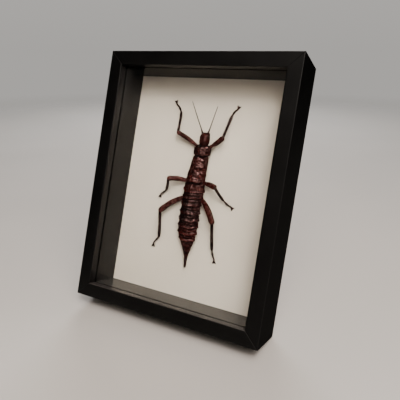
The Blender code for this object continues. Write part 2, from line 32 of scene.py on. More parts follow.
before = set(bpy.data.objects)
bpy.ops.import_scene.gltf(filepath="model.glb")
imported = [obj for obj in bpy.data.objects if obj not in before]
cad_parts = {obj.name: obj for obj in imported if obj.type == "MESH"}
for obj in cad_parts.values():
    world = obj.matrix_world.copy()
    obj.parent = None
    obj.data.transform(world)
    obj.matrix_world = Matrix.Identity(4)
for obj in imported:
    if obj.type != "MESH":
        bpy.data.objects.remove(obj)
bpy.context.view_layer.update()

MM = 0.001

# Case
CASE_WIDTH = 208.4
CASE_HEIGHT = 266.0
CASE_DEPTH = 49.2
FACE_WIDTH = 14.4
LIP_DEPTH = 9.0
RAIL_WALL = 9.4
FIT = 0.3
GLASS_THICKNESS = 2.0
GLASS_GAP = 0.6
CARD_FRONT = 43.9
BOARD_BACK = 48.7
LEAN = 19.74
FRONT_CHAMFER = 0.7
EDGE_ROUND = 0.9
MITRE_JOINT = 0.1
BACK_ROUND = 0.3
LIP_ROUND = 0.25
WALL_ROUND, WALL_FRONT_ROUND = 0.2, 0.35
MOULDING_ROUND = 0.2
WALL_END_GAP = 0.02
# A face lies on a plane when its middle is this close to it
NEAR = 0.05
# Points that a broken edge leaves closer than this become one
WELD_GAP = 0.001

# Strut
STRUT_THICKNESS = 5.0
STRUT_TOP_WIDTH = 44.0
STRUT_FOOT_WIDTH = 64.0
STRUT_FOOT_BACK = 62.0
HINGE_HEIGHT = 168.0
HINGE_LENGTH = 26.0
HINGE_THICKNESS = 2.0
HINGE_MIDDLE = HINGE_HEIGHT + HINGE_LENGTH / 2
KNUCKLE_RADIUS = 1.6
KNUCKLES = 5
KNUCKLE_RISE, KNUCKLE_GAP, KNUCKLE_INSET = 1.9, 0.1, 3.0
# Rounded end of a knuckle: distance from its end, share of its radius
KNUCKLE_END = ((0.15, 0.75), (0.4, 1.0))
# Screw heads: their places across, their rise above the hinge's middle, the dome, the recess
SCREWS = (-15.0, 0.0, 15.0)
SCREW_RISE = 9.0
SCREW_RADIUS, SCREW_HEIGHT, SCREW_CURVE = 2.9, 1.25, 3.4
RECESS_DEPTH, RECESS_HALF, RECESS_REACH = 0.8, 0.42, 0.58
# Width of the broken edges
TAB_ROUND, PLATE_ROUND, LEG_ROUND = 0.06, 0.5, 0.6
# Flat points that hold the board, and the middle of each along its side
TAB_LENGTH = 9.0
TAB_WIDTH = 5.5
TAB_THICKNESS, TAB_GAP, TAB_ROOT = 0.3, 0.05, 0.4
# Outline of a tab: share of its length, share of its half width
TAB_SHAPE = (
    (0.0, -1.0), (0.72, -1.0), (0.95, -0.5), (1.0, 0.0), (0.95, 0.5), (0.72, 1.0), (0.0, 1.0),
)
TABS = {
    "left": (40.0, 133.0, 226.0), "right": (40.0, 133.0, 226.0),
    "bottom": (-52.0, 52.0), "top": (-52.0, 52.0),
}

# Camera, in the case's own directions
CAMERA_PLACE = (197.0, -360.0, 137.5)
CAMERA_FORWARD = (-0.4286, 0.9028, -0.0353)
CAMERA_UP = (-0.1541, -0.0346, 0.9874)
SENSOR = 36.0
PICTURE_WIDTH = 400
FOCAL_PIXELS = 418

# Floor, in metres from the case
FLOOR_NEAR = 0.7
FLOOR_FAR = 2.6
FLOOR_DROP = 0.0002
# Lamps: name, place, what it looks at, width, watts and colour
LAMPS = (
    ("key", (0.46, -0.56, 1.0), (0, 0, 0.13), 1.05, 14.2, "#fff1e4"),
    ("spot", (0.48, -0.66, 0.98), (0, 0, 0.13), 0.26, 6.6, "#fff4ee"),
    ("behind", (-0.75, 1.5, 1.15), (0, 0, 0.1), 1.2, 30.0, "#f4f2f2"),
)

# Insect
INSECT_PLACE = (0.6, -1.2)
NECK = 180.8
TAIL_TIP = 49.0
# Height up the card, middle line, half width, heights of belly, widest line and back
STATIONS = (
    (181.0, 2.2, 6.2, 1.4, 5.4, 10.0),
    (178.5, 1.7, 9.3, 1.0, 5.4, 11.4),
    (171.5, 1.4, 9.2, 0.8, 5.5, 12.3),
    (167.0, 1.0, 9.1, 0.8, 5.5, 12.0),
    (155.0, 0.1, 9.9, 0.6, 5.8, 13.2),
    (143.0, -1.0, 10.3, 0.5, 6.0, 13.9),
    (138.0, -0.8, 11.4, 0.5, 6.0, 14.2),
    (132.0, -0.8, 11.7, 0.5, 6.0, 14.6),
    (124.0, -1.2, 11.1, 0.5, 6.0, 14.9),
    (112.0, -1.6, 11.2, 0.5, 6.2, 15.0),
    (93.0, -1.5, 11.3, 0.5, 6.0, 14.3),
    (84.0, -1.2, 10.4, 0.6, 5.6, 12.8),
    (78.5, -0.8, 8.6, 0.8, 5.0, 11.2),
    (72.5, -0.3, 5.8, 1.2, 4.6, 9.5),
    (67.0, 0.1, 3.9, 1.8, 4.3, 7.8),
    (62.0, 0.4, 2.4, 2.2, 4.0, 6.5),
    (57.0, 0.5, 1.8, 2.3, 3.8, 5.6),
    (52.5, 0.6, 1.5, 2.4, 3.6, 5.0),
    (50.5, 0.7, 1.5, 2.3, 3.6, 5.0),
    (49.0, 0.7, 0.8, 3.0, 3.6, 4.2),
)
# Segments: name, height of the rear edge, depth of the fold behind it, redness, share of grains
SEGMENTS = (
    ("pronotum", 170.1, 1.5, 0.1, 1.0),
    ("mesothorax", 141.4, 1.4, 0.3, 1.0),
    ("metathorax", 130.8, 0.75, 0.35, 0.9),
    ("abdomen_1", 124.1, 0.8, 0.1, 0.5),
    ("abdomen_2", 116.2, 0.85, 0.05, 0.4),
    ("abdomen_3", 107.6, 0.9, 0.0, 0.35),
    ("abdomen_4", 100.2, 0.95, 0.0, 0.35),
    ("abdomen_5", 93.1, 0.95, 0.3, 0.3),
    ("abdomen_6", 85.6, 0.9, 0.7, 0.3),
    ("abdomen_7", 78.5, 0.7, 0.6, 0.3),
    ("abdomen_8", 72.5, 0.4, 0.3, 0.1),
    ("abdomen_9", 67.0, 0.25, 0.2, 0.0),
    ("abdomen_10", 62.1, 0.2, 0.1, 0.0),
    ("ovipositor", 49.0, 0.0, 0.0, 0.0),
)
FIRST_TAIL = 10
# Skins: lowest ring, highest ring, step between rings, points round a ring
BODY_RINGS = (TAIL_TIP, NECK + 0.2, 0.24, 132)
HEAD_RINGS = (180.0, 194.05, 0.11, 112)
# How far the corners between stations are rounded, along the card
BODY_BLEND, HEAD_BLEND = 1.4, 0.7
# Wrinkles: shift of the pattern, its size round and along, seed, depth on pronotum and behind
WRINKLES = (
    (60, (5.0, 1.3), 3, 0.38, 0.38), (20, (2.1, 1.3), 4, 0.55, 0.2),
    (90, (4.0, 4.0), 5, 0.55, 0.55), (10, (0.9, 0.8), 6, 0.09, 0.09),
)
PLATE_SWELL = (
    (0.0, 0.945), (0.10, 0.975), (0.28, 1.0), (0.42, 0.985),
    (0.60, 1.005), (0.82, 1.03), (0.93, 1.03), (1.0, 0.985),
)
SHIELD_SWELL = (
    (0.0, 0.93), (0.14, 1.0), (0.34, 1.06), (0.5, 1.05), (0.72, 1.03), (0.9, 0.99), (1.0, 0.93),
)
LONG_SWELL = (
    (0.0, 0.93), (0.08, 0.99), (0.22, 1.01), (0.32, 0.985), (0.45, 1.015),
    (0.56, 0.985), (0.70, 1.02), (0.80, 0.985), (0.93, 1.03), (1.0, 0.96),
)
BEAK_SWELL = ((0.0, 0.96), (0.25, 1.0), (1.0, 1.0))
# Spines of a segment: share of its length, angle round the body, length; set on both sides
SIDE, SHOULDER, CREST = 8, 38, 66
SEGMENT_SPINES = {
    "pronotum": ((0.30, SIDE, 1.3), (0.62, SIDE, 0.9), (0.5, CREST, 0.8)),
    "mesothorax": (
        (0.12, SIDE, 1.0), (0.33, SIDE, 1.2), (0.55, SIDE, 1.2), (0.77, SIDE, 1.4),
        (0.30, CREST, 0.8), (0.62, CREST, 0.8), (0.93, SHOULDER, 1.0),
    ),
    "metathorax": ((0.25, SIDE, 1.4), (0.72, SIDE, 1.5), (0.85, CREST, 0.9)),
    "abdomen_1": ((0.75, SIDE, 1.2),),
    "abdomen_2": ((0.80, SIDE, 1.3), (0.86, CREST, 0.8)),
    "abdomen_3": ((0.82, SIDE, 1.4), (0.86, CREST, 0.8)),
    "abdomen_4": ((0.82, SIDE, 1.4), (0.86, CREST, 0.8)),
    "abdomen_5": ((0.82, SIDE, 1.5), (0.86, CREST, 0.8)),
    "abdomen_6": ((0.80, SIDE, 1.5), (0.86, CREST, 0.7)),
    "abdomen_7": ((0.78, SIDE, 1.3),),
}
SPINE_RAKE = 0.45
SPINE_ROOT = 0.35
THORN_BEND = 1.2
HEAD_STATIONS = (
    (180.6, 2.2, 4.3, 2.6, 5.6, 9.5),
    (182.6, 2.3, 5.4, 2.0, 5.8, 10.6),
    (185.4, 2.4, 5.7, 1.8, 6.0, 11.1),
    (188.0, 2.5, 5.4, 1.8, 6.0, 10.9),
    (190.4, 2.5, 5.2, 1.9, 6.0, 10.3),
    (192.2, 2.5, 4.9, 2.3, 5.8, 9.3),
    (193.3, 2.5, 4.3, 3.0, 5.5, 8.2),
    (193.9, 2.5, 3.4, 3.6, 5.3, 7.2),
)
HEAD_MIDDLE = 2.5
# Egg-shaped parts of the head: out from its middle line, up the card, height, and radii
EYE = ((4.5, 189.3, 6.9), (1.2, 1.35, 1.35))
LABRUM = ((0.0, 192.6, 4.9), (2.0, 1.7, 1.5))
JAW = ((1.9, 191.9, 3.5), (1.7, 1.9, 1.5))
SOCKET = ((2.5, 191.2, 7.7), (1.25, 1.2, 1.1))
# Feeler of the mouth: its points; spines on the head: place and length
FEELER = ((2.6, 190.4, 2.6), (2.9, 192.5, 1.5), (1.9, 194.3, 1.1))
CROWN_SPINES = ((3.4, 186.2, 8.7, 1.1), (1.6, 183.4, 9.7, 1.0))
ANTENNAE = {
    "left": ((-0.1, 191.6, 7.7), (-1.9, 196.6, 8.4), (-8.3, 208.6, 8.9), (-17.2, 224.6, 8.0)),
    "right": ((5.1, 191.6, 7.7), (7.2, 196.6, 8.4), (10.0, 208.2, 8.9), (12.4, 221.3, 8.0)),
}
# Steps between two points of an antenna, where its second joint starts, where its whip starts
SCAPE_STEPS, PEDICEL_START, WHIP_START = 14, 15, 17
PEDICEL_RADIUS = 0.65
WHIP_JOINTS, WHIP_LENGTHS = 30, 29.6
WHIP_THICK, WHIP_THIN = 0.6, 0.3
# Legs: coxa root, hip, knee, ankle, tarsus bend and toe
LEGS = {
    "front_left": (
        (-1.0, 176.0, 3.4), (-7.6, 180.4, 3.6), (-29.9, 191.6, 8.0),
        (-32.0, 214.2, 3.1), (-35.9, 219.8, 2.0), (-41.2, 224.9, 1.4),
    ),
    "front_right": (
        (5.0, 176.0, 3.4), (11.2, 181.2, 4.2), (25.2, 189.8, 11.5),
        (27.8, 214.2, 3.1), (29.8, 219.0, 2.0), (33.2, 223.0, 1.4),
    ),
    "mid_left": (
        (-5.0, 143.6, 3.0), (-11.6, 141.4, 3.6), (-31.1, 140.7, 11.5),
        (-36.0, 127.6, 3.1), (-40.4, 124.2, 2.0), (-44.0, 120.7, 1.4),
    ),
    "mid_right": (
        (3.4, 143.6, 3.0), (10.4, 141.2, 3.6), (26.4, 138.4, 15.1),
        (32.8, 126.5, 3.1), (38.2, 122.8, 2.0), (42.6, 119.9, 1.4),
    ),
    "hind_left": (
        (-4.9, 131.8, 2.9), (-11.0, 123.9, 3.0), (-36.2, 104.4, 9.8),
        (-36.5, 75.2, 3.1), (-40.4, 70.8, 2.0), (-43.6, 65.4, 1.4),
    ),
    "hind_right": (
        (3.2, 132.2, 2.9), (8.8, 124.0, 3.0), (28.3, 101.6, 12.4),
        (28.8, 73.8, 3.1), (30.5, 67.6, 2.0), (32.2, 61.8, 1.4),
    ),
}
# How far the middle of each femur stands off its straight line, across and up the card
FEMUR_BOW = {
    "front_left": (0.2, 0.5), "front_right": (0.3, -0.6),
    "mid_left": (0.0, 1.0), "mid_right": (0.1, 0.4),
    "hind_left": (-0.8, 1.9), "hind_right": (1.2, 0.7),
}
# How far the middle of the tibia, the middle of the toes and the claws stand off to the right
SHIN_BOW = {
    "front_left": (0.3, -0.5, 0.6), "front_right": (0.0, 0.5, -0.3),
    "mid_left": (0.5, -0.5, 0.6), "mid_right": (-0.5, 0.7, 0.4),
    "hind_left": (0.5, -0.2, 0.9), "hind_right": (-0.2, 0.8, 0.3),
}
# Radii of femur and tibia
LEG_RADII = {"front": (2.3, 1.3), "mid": (2.6, 1.38), "hind": (2.8, 1.55)}
COXA_RADIUS = 2.0
TARSUS_RADIUS = 1.1
TARSUS_SHARES = (0.30, 0.15, 0.13, 0.12, 0.30)
TARSUS_SIZES = (1.05, 0.95, 0.92, 0.92, 1.05)
# Outlines along a joint: share of its length, share of its radius
SCAPE_SHAPE = ((0, 0.7), (0.3, 1.0), (0.8, 0.9), (1, 0.65))
TARSUS_SHAPE = ((0, 0.58), (0.35, 0.7), (0.8, 1.05), (1, 0.9))
COXA_SHAPE = ((0, 1.0), (0.6, 1.0), (0.85, 0.92), (1, 0.72))
FEMUR_SHAPE = (
    (0.0, 0.66), (0.10, 0.78), (0.30, 0.95), (0.55, 1.02), (0.76, 0.98), (0.92, 1.04), (1.0, 0.8),
)
TIBIA_SHAPE = (
    (0.0, 0.9), (0.17, 1.0), (0.33, 0.9), (0.5, 0.92), (0.67, 0.98), (0.83, 1.05), (1.0, 0.8),
)
# Long joints: step of the skin, its outline, places and length of the spines, and its section
LONG_JOINTS = {
    "femur": (
        0.25, FEMUR_SHAPE, (0.14, 0.24, 0.34, 0.44, 0.54, 0.64, 0.74, 0.84, 0.93), 0.85,
        {"columns": 56, "square": 2.9, "flat": 0.97, "keels": 0.24, "rough": 0.15, "ends": 0.45},
    ),
    "tibia": (
        0.22, TIBIA_SHAPE, (0.12, 0.22, 0.32, 0.42, 0.52, 0.62, 0.72, 0.82, 0.93), 1.0,
        {"columns": 44, "square": 2.6, "flat": 0.95, "keels": 0.12, "rough": 0.10, "ends": 0.5},
    ),
}

# Seeds of the random numbers; those of a leg's joints count on from leg to leg
GRAIN_SEED, BODY_SPINE_SEED, LEG_SPINE_SEED = 7, 11, 50
FEELER_SEED, SCAPE_SEED, PEDICEL_SEED = 3, 5, 6
LIMB_SEEDS = {
    "tarsus": 20, "pad": 30, "claw": 31, "coxa": 60, "femur": 70, "tibia": 80, "knee": 90,
}

# Marks that the shell's finish reads: painted shade in the folds, reddish places, where grains may
# stand, and where the shell shines; where it does not, it is dull and painted darker as painted
# shade
MARKS = ("fold", "redness", "granular", "sheen")


# Placing the case

def leaned(y, z):
    """The case's side view turned back about its front lower corner."""
    lean = math.radians(LEAN)
    return y * math.cos(lean) + z * math.sin(lean), z * math.cos(lean) - y * math.sin(lean)


def stood(y, z):
    """Where a point of the case's side view comes to rest: midway in depth, on the floor."""
    foremost = leaned(0.0, FRONT_CHAMFER)[0]
    rearmost = leaned(CASE_DEPTH, CASE_HEIGHT)[0]
    lowest = leaned(CASE_DEPTH, 0.0)[1]
    back, up = leaned(y, z)
    return back - (foremost + rearmost) / 2, up - lowest


CASE_TURN = Matrix.Rotation(-math.radians(LEAN), 4, "X")
CASE = (
    Matrix.Translation(Vector((0.0, *stood(0.0, 0.0))) * MM) @ CASE_TURN @ Matrix.Scale(MM, 4)
)


def joined(x, y, z):
    """Points from their three values, each a number or a table."""
    return np.stack(np.broadcast_arrays(x, y, z), -1)


def on_card(across, up, height):
    """Points of the insect, in the case's millimetres."""
    right, raised = INSECT_PLACE
    return joined(across + right, CARD_FRONT - height, up + raised)


# Building meshes

def shown(name, data):
    """A new object in the scene."""
    made = bpy.data.objects.new(name, data)
    bpy.context.scene.collection.objects.link(made)
    return made


def shaped(name, points, edges=(), faces=()):
    """A new object whose mesh has these points, edges and faces."""
    mesh = bpy.data.meshes.new(name)
    mesh.from_pydata(np.array(points, float).tolist(), edges, faces)
    return shown(name, mesh)


def closed(rings, **marks):
    """A closed skin over rings, with a pole at each end: points, faces, marks on the points."""
    rings = np.asarray(rings, float)
    rows, columns = rings.shape[:2]
    points = np.vstack([rings.reshape(-1, 3), rings[0].mean(0), rings[-1].mean(0)])
    level, step = np.meshgrid(np.arange(rows - 1), np.arange(columns), indexing="ij")
    low, after = level * columns, (step + 1) % columns
    quads = np.stack([low + step, low + after, low + columns + after, low + columns + step], -1)
    quads = quads.reshape(-1, 4)
    around = np.arange(columns)
    ahead = (around + 1) % columns
    last = (rows - 1) * columns
    fans = np.vstack([
        np.stack([ahead, around, np.full(columns, len(points) - 2)], -1),
        np.stack([last + around, last + ahead, np.full(columns, len(points) - 1)], -1),
    ])
    corners = np.vstack([quads[:, (0, 1, 2)], quads[:, (0, 2, 3)], fans])
    a, b, c = (points[corners[:, k]] - points.mean(0) for k in range(3))
    if np.einsum("ij,ij->i", a, np.cross(b, c)).sum() < 0:
        quads, fans = quads[:, ::-1], fans[:, ::-1]
    values = {}
    for name, mark in marks.items():
        mark = np.broadcast_to(mark, (rows, columns))
        values[name] = np.append(mark.ravel(), (mark[0].mean(), mark[-1].mean()))
    return points, quads.tolist() + fans.tolist(), values


def piece_of(name, parts, coat):
    """One smooth mesh object from closed parts, still in the case's millimetres."""
    points, faces = [], []
    start = 0
    for part_points, part_faces, _ in parts:
        points.append(part_points)
        faces += [[start + i for i in face] for face in part_faces]
        start += len(part_points)
    piece = shaped(name, np.vstack(points), faces=faces)
    mesh = piece.data
    mesh.shade_smooth()
    mesh.materials.append(coat)
    for mark in MARKS:
        values = [part[2].get(mark, np.zeros(len(part[0]))) for part in parts]
        layer = mesh.attributes.new(mark, "FLOAT", "POINT")
        layer.data.foreach_set("value", np.concatenate(values).astype(np.float32))
    return piece


def settle(piece, nodes):
    """Puts a finished piece in its place and hides the solids it stands for."""
    piece.data.transform(CASE)
    piece.data.update()
    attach(piece, "root")
    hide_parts(*nodes)


def applied(piece):
    """Turns the piece and its modifiers into a plain mesh."""
    graph = bpy.context.evaluated_depsgraph_get()
    mesh = bpy.data.meshes.new_from_object(piece.evaluated_get(graph))
    piece.modifiers.clear()
    piece.data = mesh
    return piece


def wander(x, y, cell, seed):
    """Smooth random values from -1 to 1 over a plane, one fresh value each cell."""
    table = np.random.default_rng(seed).uniform(-1, 1, (256, 256))
    sizes = cell if isinstance(cell, tuple) else (cell, cell)
    gx, gy = x / sizes[0], y / sizes[1]
    ix, iy = np.floor(gx).astype(int), np.floor(gy).astype(int)
    fx, fy = gx - ix, gy - iy
    fx, fy = fx * fx * (3 - 2 * fx), fy * fy * (3 - 2 * fy)

    def at(i, j):
        """The value at one corner of a cell."""
        return table[i % 256, j % 256]

    low = at(ix, iy) * (1 - fx) + at(ix + 1, iy) * fx
    high = at(ix, iy + 1) * (1 - fx) + at(ix + 1, iy + 1) * fx
    return low * (1 - fy) + high * fy


def hump(x, width):
    """A smooth rise to 1 where x is 0."""
    return np.exp(-(x / width) ** 2)


# Finishes

def srgb(code):
    """Linear colour from a hex value."""
    shares = [int(code[i:i + 2], 16) / 255 for i in (1, 3, 5)]
    return (*(s / 12.92 if s <= 0.04045 else ((s + 0.055) / 1.055) ** 2.4 for s in shares), 1.0)


def per(size):
    """The texture scale that draws features of this many millimetres."""
    return 1 / (size * MM)


def feed(tree, node, inputs):
    """Fills sockets by name, by number or in order: a value, a hex colour, a socket or a node."""
    for key, value in inputs.items() if isinstance(inputs, dict) else enumerate(inputs):
        if isinstance(value, bpy.types.Node):
            value = next(output for output in value.outputs if output.enabled)
        if isinstance(value, bpy.types.NodeSocket):
            tree.links.new(value, node.inputs[key])
        else:
            coloured = isinstance(value, str) and value.startswith("#")
            node.inputs[key].default_value = srgb(value) if coloured else value


def add(tree, kind, inputs=(), **settings):
    """Adds a node, gives it its own settings and fills its inputs."""
    made = tree.nodes.new(kind)
    for name, value in settings.items():
        setattr(made, name, value)
    feed(tree, made, inputs)
    return made


def finish(name, **constants):
    """A material with one Principled shader, and where its patterns are read."""
    coat = bpy.data.materials.new(name)
    coat.use_nodes = True
    tree = coat.node_tree
    shader = tree.nodes["Principled BSDF"]
    feed(tree, shader, {key.replace("_", " "): value for key, value in constants.items()})
    place = add(tree, "ShaderNodeTexCoord").outputs["Object"]
    return coat, tree, shader, place


def grain(tree, place, size, detail, longer=(1.0, 1.0, 1.0)):
    """Cloudy noise of one size, drawn out by these factors along the case's own axes."""
    turned = add(
        tree, "ShaderNodeMapping",
        {"Vector": place, "Rotation": (-math.radians(LEAN), 0, 0), "Scale": longer},
        vector_type="TEXTURE",
    )
    return add(tree, "ShaderNodeTexNoise", {
        "Vector": turned, "Scale": per(size), "Detail": detail, "Roughness": 0.5,
    }).outputs["Fac"]


def tinted(tree, colour, over, pattern, low=0.3, high=0.7, most=1.0):
    """The colour, giving way to another as the pattern goes from low to high."""
    share = add(tree, "ShaderNodeMapRange", (pattern, low, high, 0.0, most))
    return add(tree, "ShaderNodeMix", {0: share, 6: colour, 7: over}, data_type="RGBA")


def dressed(tree, shader, colour, pattern, smooth, rough, layers=(), low=0.3, high=0.7):
    """Gives the shader its colour, a roughness that follows a pattern, and layers of relief,
    each a height and its depth in millimetres."""
    matt = add(tree, "ShaderNodeMapRange", (pattern, low, high, smooth, rough))
    feed(tree, shader, {"Base Color": colour, "Roughness": matt})
    normal = {}
    for height, depth in layers:
        inputs = {"Height": height, "Strength": 1.0, "Distance": depth * MM, **normal}
        normal = {"Normal": add(tree, "ShaderNodeBump", inputs)}
    feed(tree, shader, normal)


def dusted(tree, place, colour, low, high, most):
    """The colour under fine dust that gathers on faces that look up."""
    normal = add(tree, "ShaderNodeNewGeometry").outputs["Normal"]
    rise = add(tree, "ShaderNodeSeparateXYZ", (normal,)).outputs["Z"]
    film = add(tree, "ShaderNodeMapRange", (rise, low, high, 0.0, most))
    patchy = add(tree, "ShaderNodeMapRange", (grain(tree, place, 0.8, 4.0), 0.3, 0.7, 0.8, 1.2))
    share = add(tree, "ShaderNodeMath", (film, patchy), operation="MULTIPLY")
    return add(tree, "ShaderNodeMix", {0: share, 6: colour, 7: "#a39b98"}, data_type="RGBA")


def show_mixed(tree, share, under, over):
    """Sends two shaders to the surface, the second with this share."""
    mixed = add(tree, "ShaderNodeMixShader", (share, under, over))
    feed(tree, tree.nodes["Material Output"], {"Surface": mixed})


def dulled(tree, shader, gloss, colour):
    """Mixes in a dull surface of this colour; gloss is the share that still shines."""
    normal = shader.inputs["Normal"].links[0].from_socket
    dull = add(tree, "ShaderNodeBsdfDiffuse", (colour, 1.0, normal))
    show_mixed(tree, gloss, dull, shader)


def lacquer(name, level, gloss, dark, light):
    """Black lacquer sprayed on fibreboard: soft sheen, faint orange peel, dust on top."""
    coat, tree, shader, place = finish(name, IOR=1.45, Specular_IOR_Level=level)
    cloud = grain(tree, place, 40.0, 4.0)
    peel, speck = grain(tree, place, 2.2, 1.0), grain(tree, place, 0.9, 2.0)
    colour = dusted(tree, place, tinted(tree, dark, light, cloud, 0.35), 0.5, 0.9, 0.12)
    dressed(tree, shader, colour, cloud, 0.42, 0.50, ((peel, 0.012), (speck, 0.006)))
    dulled(tree, shader, gloss, colour)
    return coat


def wall_paint():
    """Smooth black lacquer on the inner walls: it mirrors the card, and has a little dust."""
    coat, tree, shader, place = finish("smooth_black_lacquer", IOR=1.5, Specular_IOR_Level=0.35)
    cloud, speck = grain(tree, place, 6.0, 3.0), grain(tree, place, 0.7, 2.0)
    colour = dusted(tree, place, tinted(tree, "#070708", "#0b0a0b", cloud), -0.2, 0.94, 0.07)
    dressed(tree, shader, colour, cloud, 0.08, 0.14, ((cloud, 0.006), (speck, 0.004)))
    dulled(tree, shader, 0.55, colour)
    return coat


def float_glass():
    """Clear float glass, with faint smears. Lamps shine straight through it on to the card."""
    coat, tree, shader, place = finish(
        "float_glass", IOR=1.5, Transmission_Weight=1.0, Base_Color="#f7fbf9",
    )
    smear = grain(tree, place, 55.0, 3.0)
    haze = add(tree, "ShaderNodeMapRange", (smear, 0.45, 0.75, 0.0, 0.03))
    feed(tree, shader, {"Roughness": haze})
    lamp = add(tree, "ShaderNodeLightPath").outputs["Is Shadow Ray"]
    show_mixed(tree, lamp, shader, add(tree, "ShaderNodeBsdfTransparent", ("#f2f6f4",)))
    return coat


def mount_board():
    """Warm white cotton mount board: matt, with short felted fibres."""
    coat, tree, shader, place = finish("mount_board", IOR=1.45, Specular_IOR_Level=0.06)
    cloud, felt = grain(tree, place, 60.0, 2.0), grain(tree, place, 2.4, 3.0)
    fibre = grain(tree, place, 0.5, 4.0, (1.0, 1.0, 2.2))
    base = tinted(tree, "#e6d7cb", "#ebddd2", cloud, 0.35, 0.65)
    colour = tinted(tree, base, "#d9c8bb", fibre, 0.3, 0.75, 0.35)
    dressed(tree, shader, colour, felt, 0.82, 0.93, ((felt, 0.03), (fibre, 0.02)))
    return coat


def hardboard():
    """Brown hardboard pressed from wood pulp: fine mottled fibres, a little waxy."""
    coat, tree, shader, place = finish("hardboard", IOR=1.45)
    pulp, cloud = grain(tree, place, 1.6, 5.0), grain(tree, place, 30.0, 3.0)
    fibre = grain(tree, place, 0.7, 3.0, (4.0, 1.0, 1.0))
    base = tinted(tree, "#6b4c33", "#7c5a3d", cloud)
    colour = tinted(tree, base, "#4c3322", pulp, 0.35, 0.7, 0.6)
    colour = tinted(tree, colour, "#9b7a58", fibre, 0.58, 0.7, 0.5)
    dressed(tree, shader, colour, pulp, 0.5, 0.68, ((pulp, 0.05), (fibre, 0.03)))
    return coat


def covered_board():
    """Black leather-grained paper glued over board: small pebbles with paler worn tops."""
    coat, tree, shader, place = finish("black_covering_paper", IOR=1.46)
    pebble = add(tree, "ShaderNodeTexVoronoi", {"Vector": place, "Scale": per(1.1)})
    cloud = grain(tree, place, 25.0, 3.0)
    base = tinted(tree, "#121111", "#1b1a19", cloud)
    colour = tinted(tree, base, "#2b2927", pebble, 0.35, 0.0, 0.3)
    dome = add(tree, "ShaderNodeMapRange", (pebble, 0.0, 0.7, 1.0, 0.0))
    dressed(tree, shader, colour, pebble, 0.5, 0.7, ((dome, 0.06),), 0.0, 0.6)
    return coat


def steel(name, dark, light, roughness):
    """Pressed sheet steel: rolling lines, small scuffs and uneven shine."""
    coat, tree, shader, place = finish(name, Metallic=1.0)
    rolled, cloud = grain(tree, place, 0.6, 3.0, (16.0, 1.0, 1.0)), grain(tree, place, 6.0, 4.0)
    dressed(
        tree, shader, tinted(tree, dark, light, cloud), cloud, roughness - 0.07,
        roughness + 0.09, ((rolled, 0.01), (cloud, 0.02)),
    )
    return coat


def chitin(name, dark, mid, warm, roughness, depth):
    """Dried insect shell: brown plates, hard and glossy on top, dull on the flanks, where the
    colour is painted darker as painted shade.
    """
    coat, tree, shader, place = finish(
        name, IOR=1.5, Specular_IOR_Level=0.7, Specular_Tint="#f8bfbe",
    )
    blotch, patch = grain(tree, place, 5.5, 4.0), grain(tree, place, 2.9, 4.0)
    fleck, fine = grain(tree, place, 0.9, 4.0), grain(tree, place, 0.35, 3.0)
    across = grain(tree, place, 1.1, 4.0, (2.6, 1.0, 1.0))
    red, fold, sheen = (
        add(tree, "ShaderNodeAttribute", attribute_name=mark).outputs["Fac"]
        for mark in ("redness", "fold", "sheen")
    )
    colour = tinted(tree, dark, mid, blotch, 0.36, 0.66)
    colour = tinted(tree, colour, warm, red, 0.0, 1.0)
    colour = tinted(tree, colour, warm, fleck, 0.5, 0.72, 0.5)
    # Painted shade: folds, grooves and joint ends are painted near-black
    colour = tinted(tree, colour, "#070302", fold, 0.0, 1.0, 0.9)
    layers = ((across, 0.16 * depth), (fleck, 0.10 * depth), (fine, 0.04 * depth))
    dressed(tree, shader, colour, fleck, roughness - 0.07, roughness + 0.12, layers)
    # Patches where the shell shines; between them it is dull and painted darker as painted shade
    shine_patches = add(tree, "ShaderNodeMapRange", (patch, 0.40, 0.58, 0.12, 1.0))
    sheen = add(tree, "ShaderNodeMath", (sheen, shine_patches), operation="MULTIPLY")
    # The dull share is painted darker toward near-black: painted shade on the flanks, undersides,
    # left side, folds and between the shiny patches
    dull = add(tree, "ShaderNodeMix", {0: 0.55, 6: colour, 7: "#040202"}, data_type="RGBA")
    dulled(tree, shader, sheen, dull)
    return coat


def eye_glaze():
    """Dried compound eye: dark brown, with a weak dusty shine, in hundreds of tiny facets."""
    coat, tree, shader, place = finish(
        "facetted_eye", IOR=1.45, Specular_IOR_Level=0.3, Coat_Weight=0.04,
        Coat_Roughness=0.2, Coat_IOR=1.45,
    )
    facet = add(tree, "ShaderNodeTexVoronoi", {"Vector": place, "Scale": per(0.11)})
    cloud = grain(tree, place, 0.8, 3.0)
    colour = tinted(tree, "#1b100c", "#3c261b", cloud)
    dome = add(tree, "ShaderNodeMapRange", (facet, 0.0, 0.6, 1.0, 0.0))
    dressed(tree, shader, colour, cloud, 0.34, 0.46, ((dome, 0.01),))
    dulled(tree, shader, 0.4, colour)
    return coat


def studio_floor():
    """Pale matt paper, which fades into the room far from the case so that no horizon shows."""
    coat, tree, shader, place = finish("pale_paper", Specular_IOR_Level=0.2)
    cloud = grain(tree, place, 300.0, 2.0)
    dressed(tree, shader, tinted(tree, "#cbc8c3", "#d0cdc8", cloud), cloud, 0.8, 0.9)
    away = add(tree, "ShaderNodeVectorMath", (place,), operation="LENGTH")
    fade = add(
        tree, "ShaderNodeMapRange", (away, FLOOR_NEAR, FLOOR_FAR),
        interpolation_type="SMOOTHSTEP",
    )
    show_mixed(tree, fade, shader, add(tree, "ShaderNodeBsdfTransparent"))
    return coat


# Shapes grown by node trees

def new_tree(name, *sockets):
    """A geometry tree with one geometry in, one out, and named inputs for its sizes."""
    tree = bpy.data.node_groups.new(name, "GeometryNodeTree")
    face = tree.interface
    face.new_socket("Geometry", in_out="INPUT", socket_type="NodeSocketGeometry")
    for label, kind in sockets + (("Coat", "Material"),):
        face.new_socket(label, in_out="INPUT", socket_type="NodeSocket" + kind)
    face.new_socket("Geometry", in_out="OUTPUT", socket_type="NodeSocketGeometry")
    return tree, add(tree, "NodeGroupInput").outputs


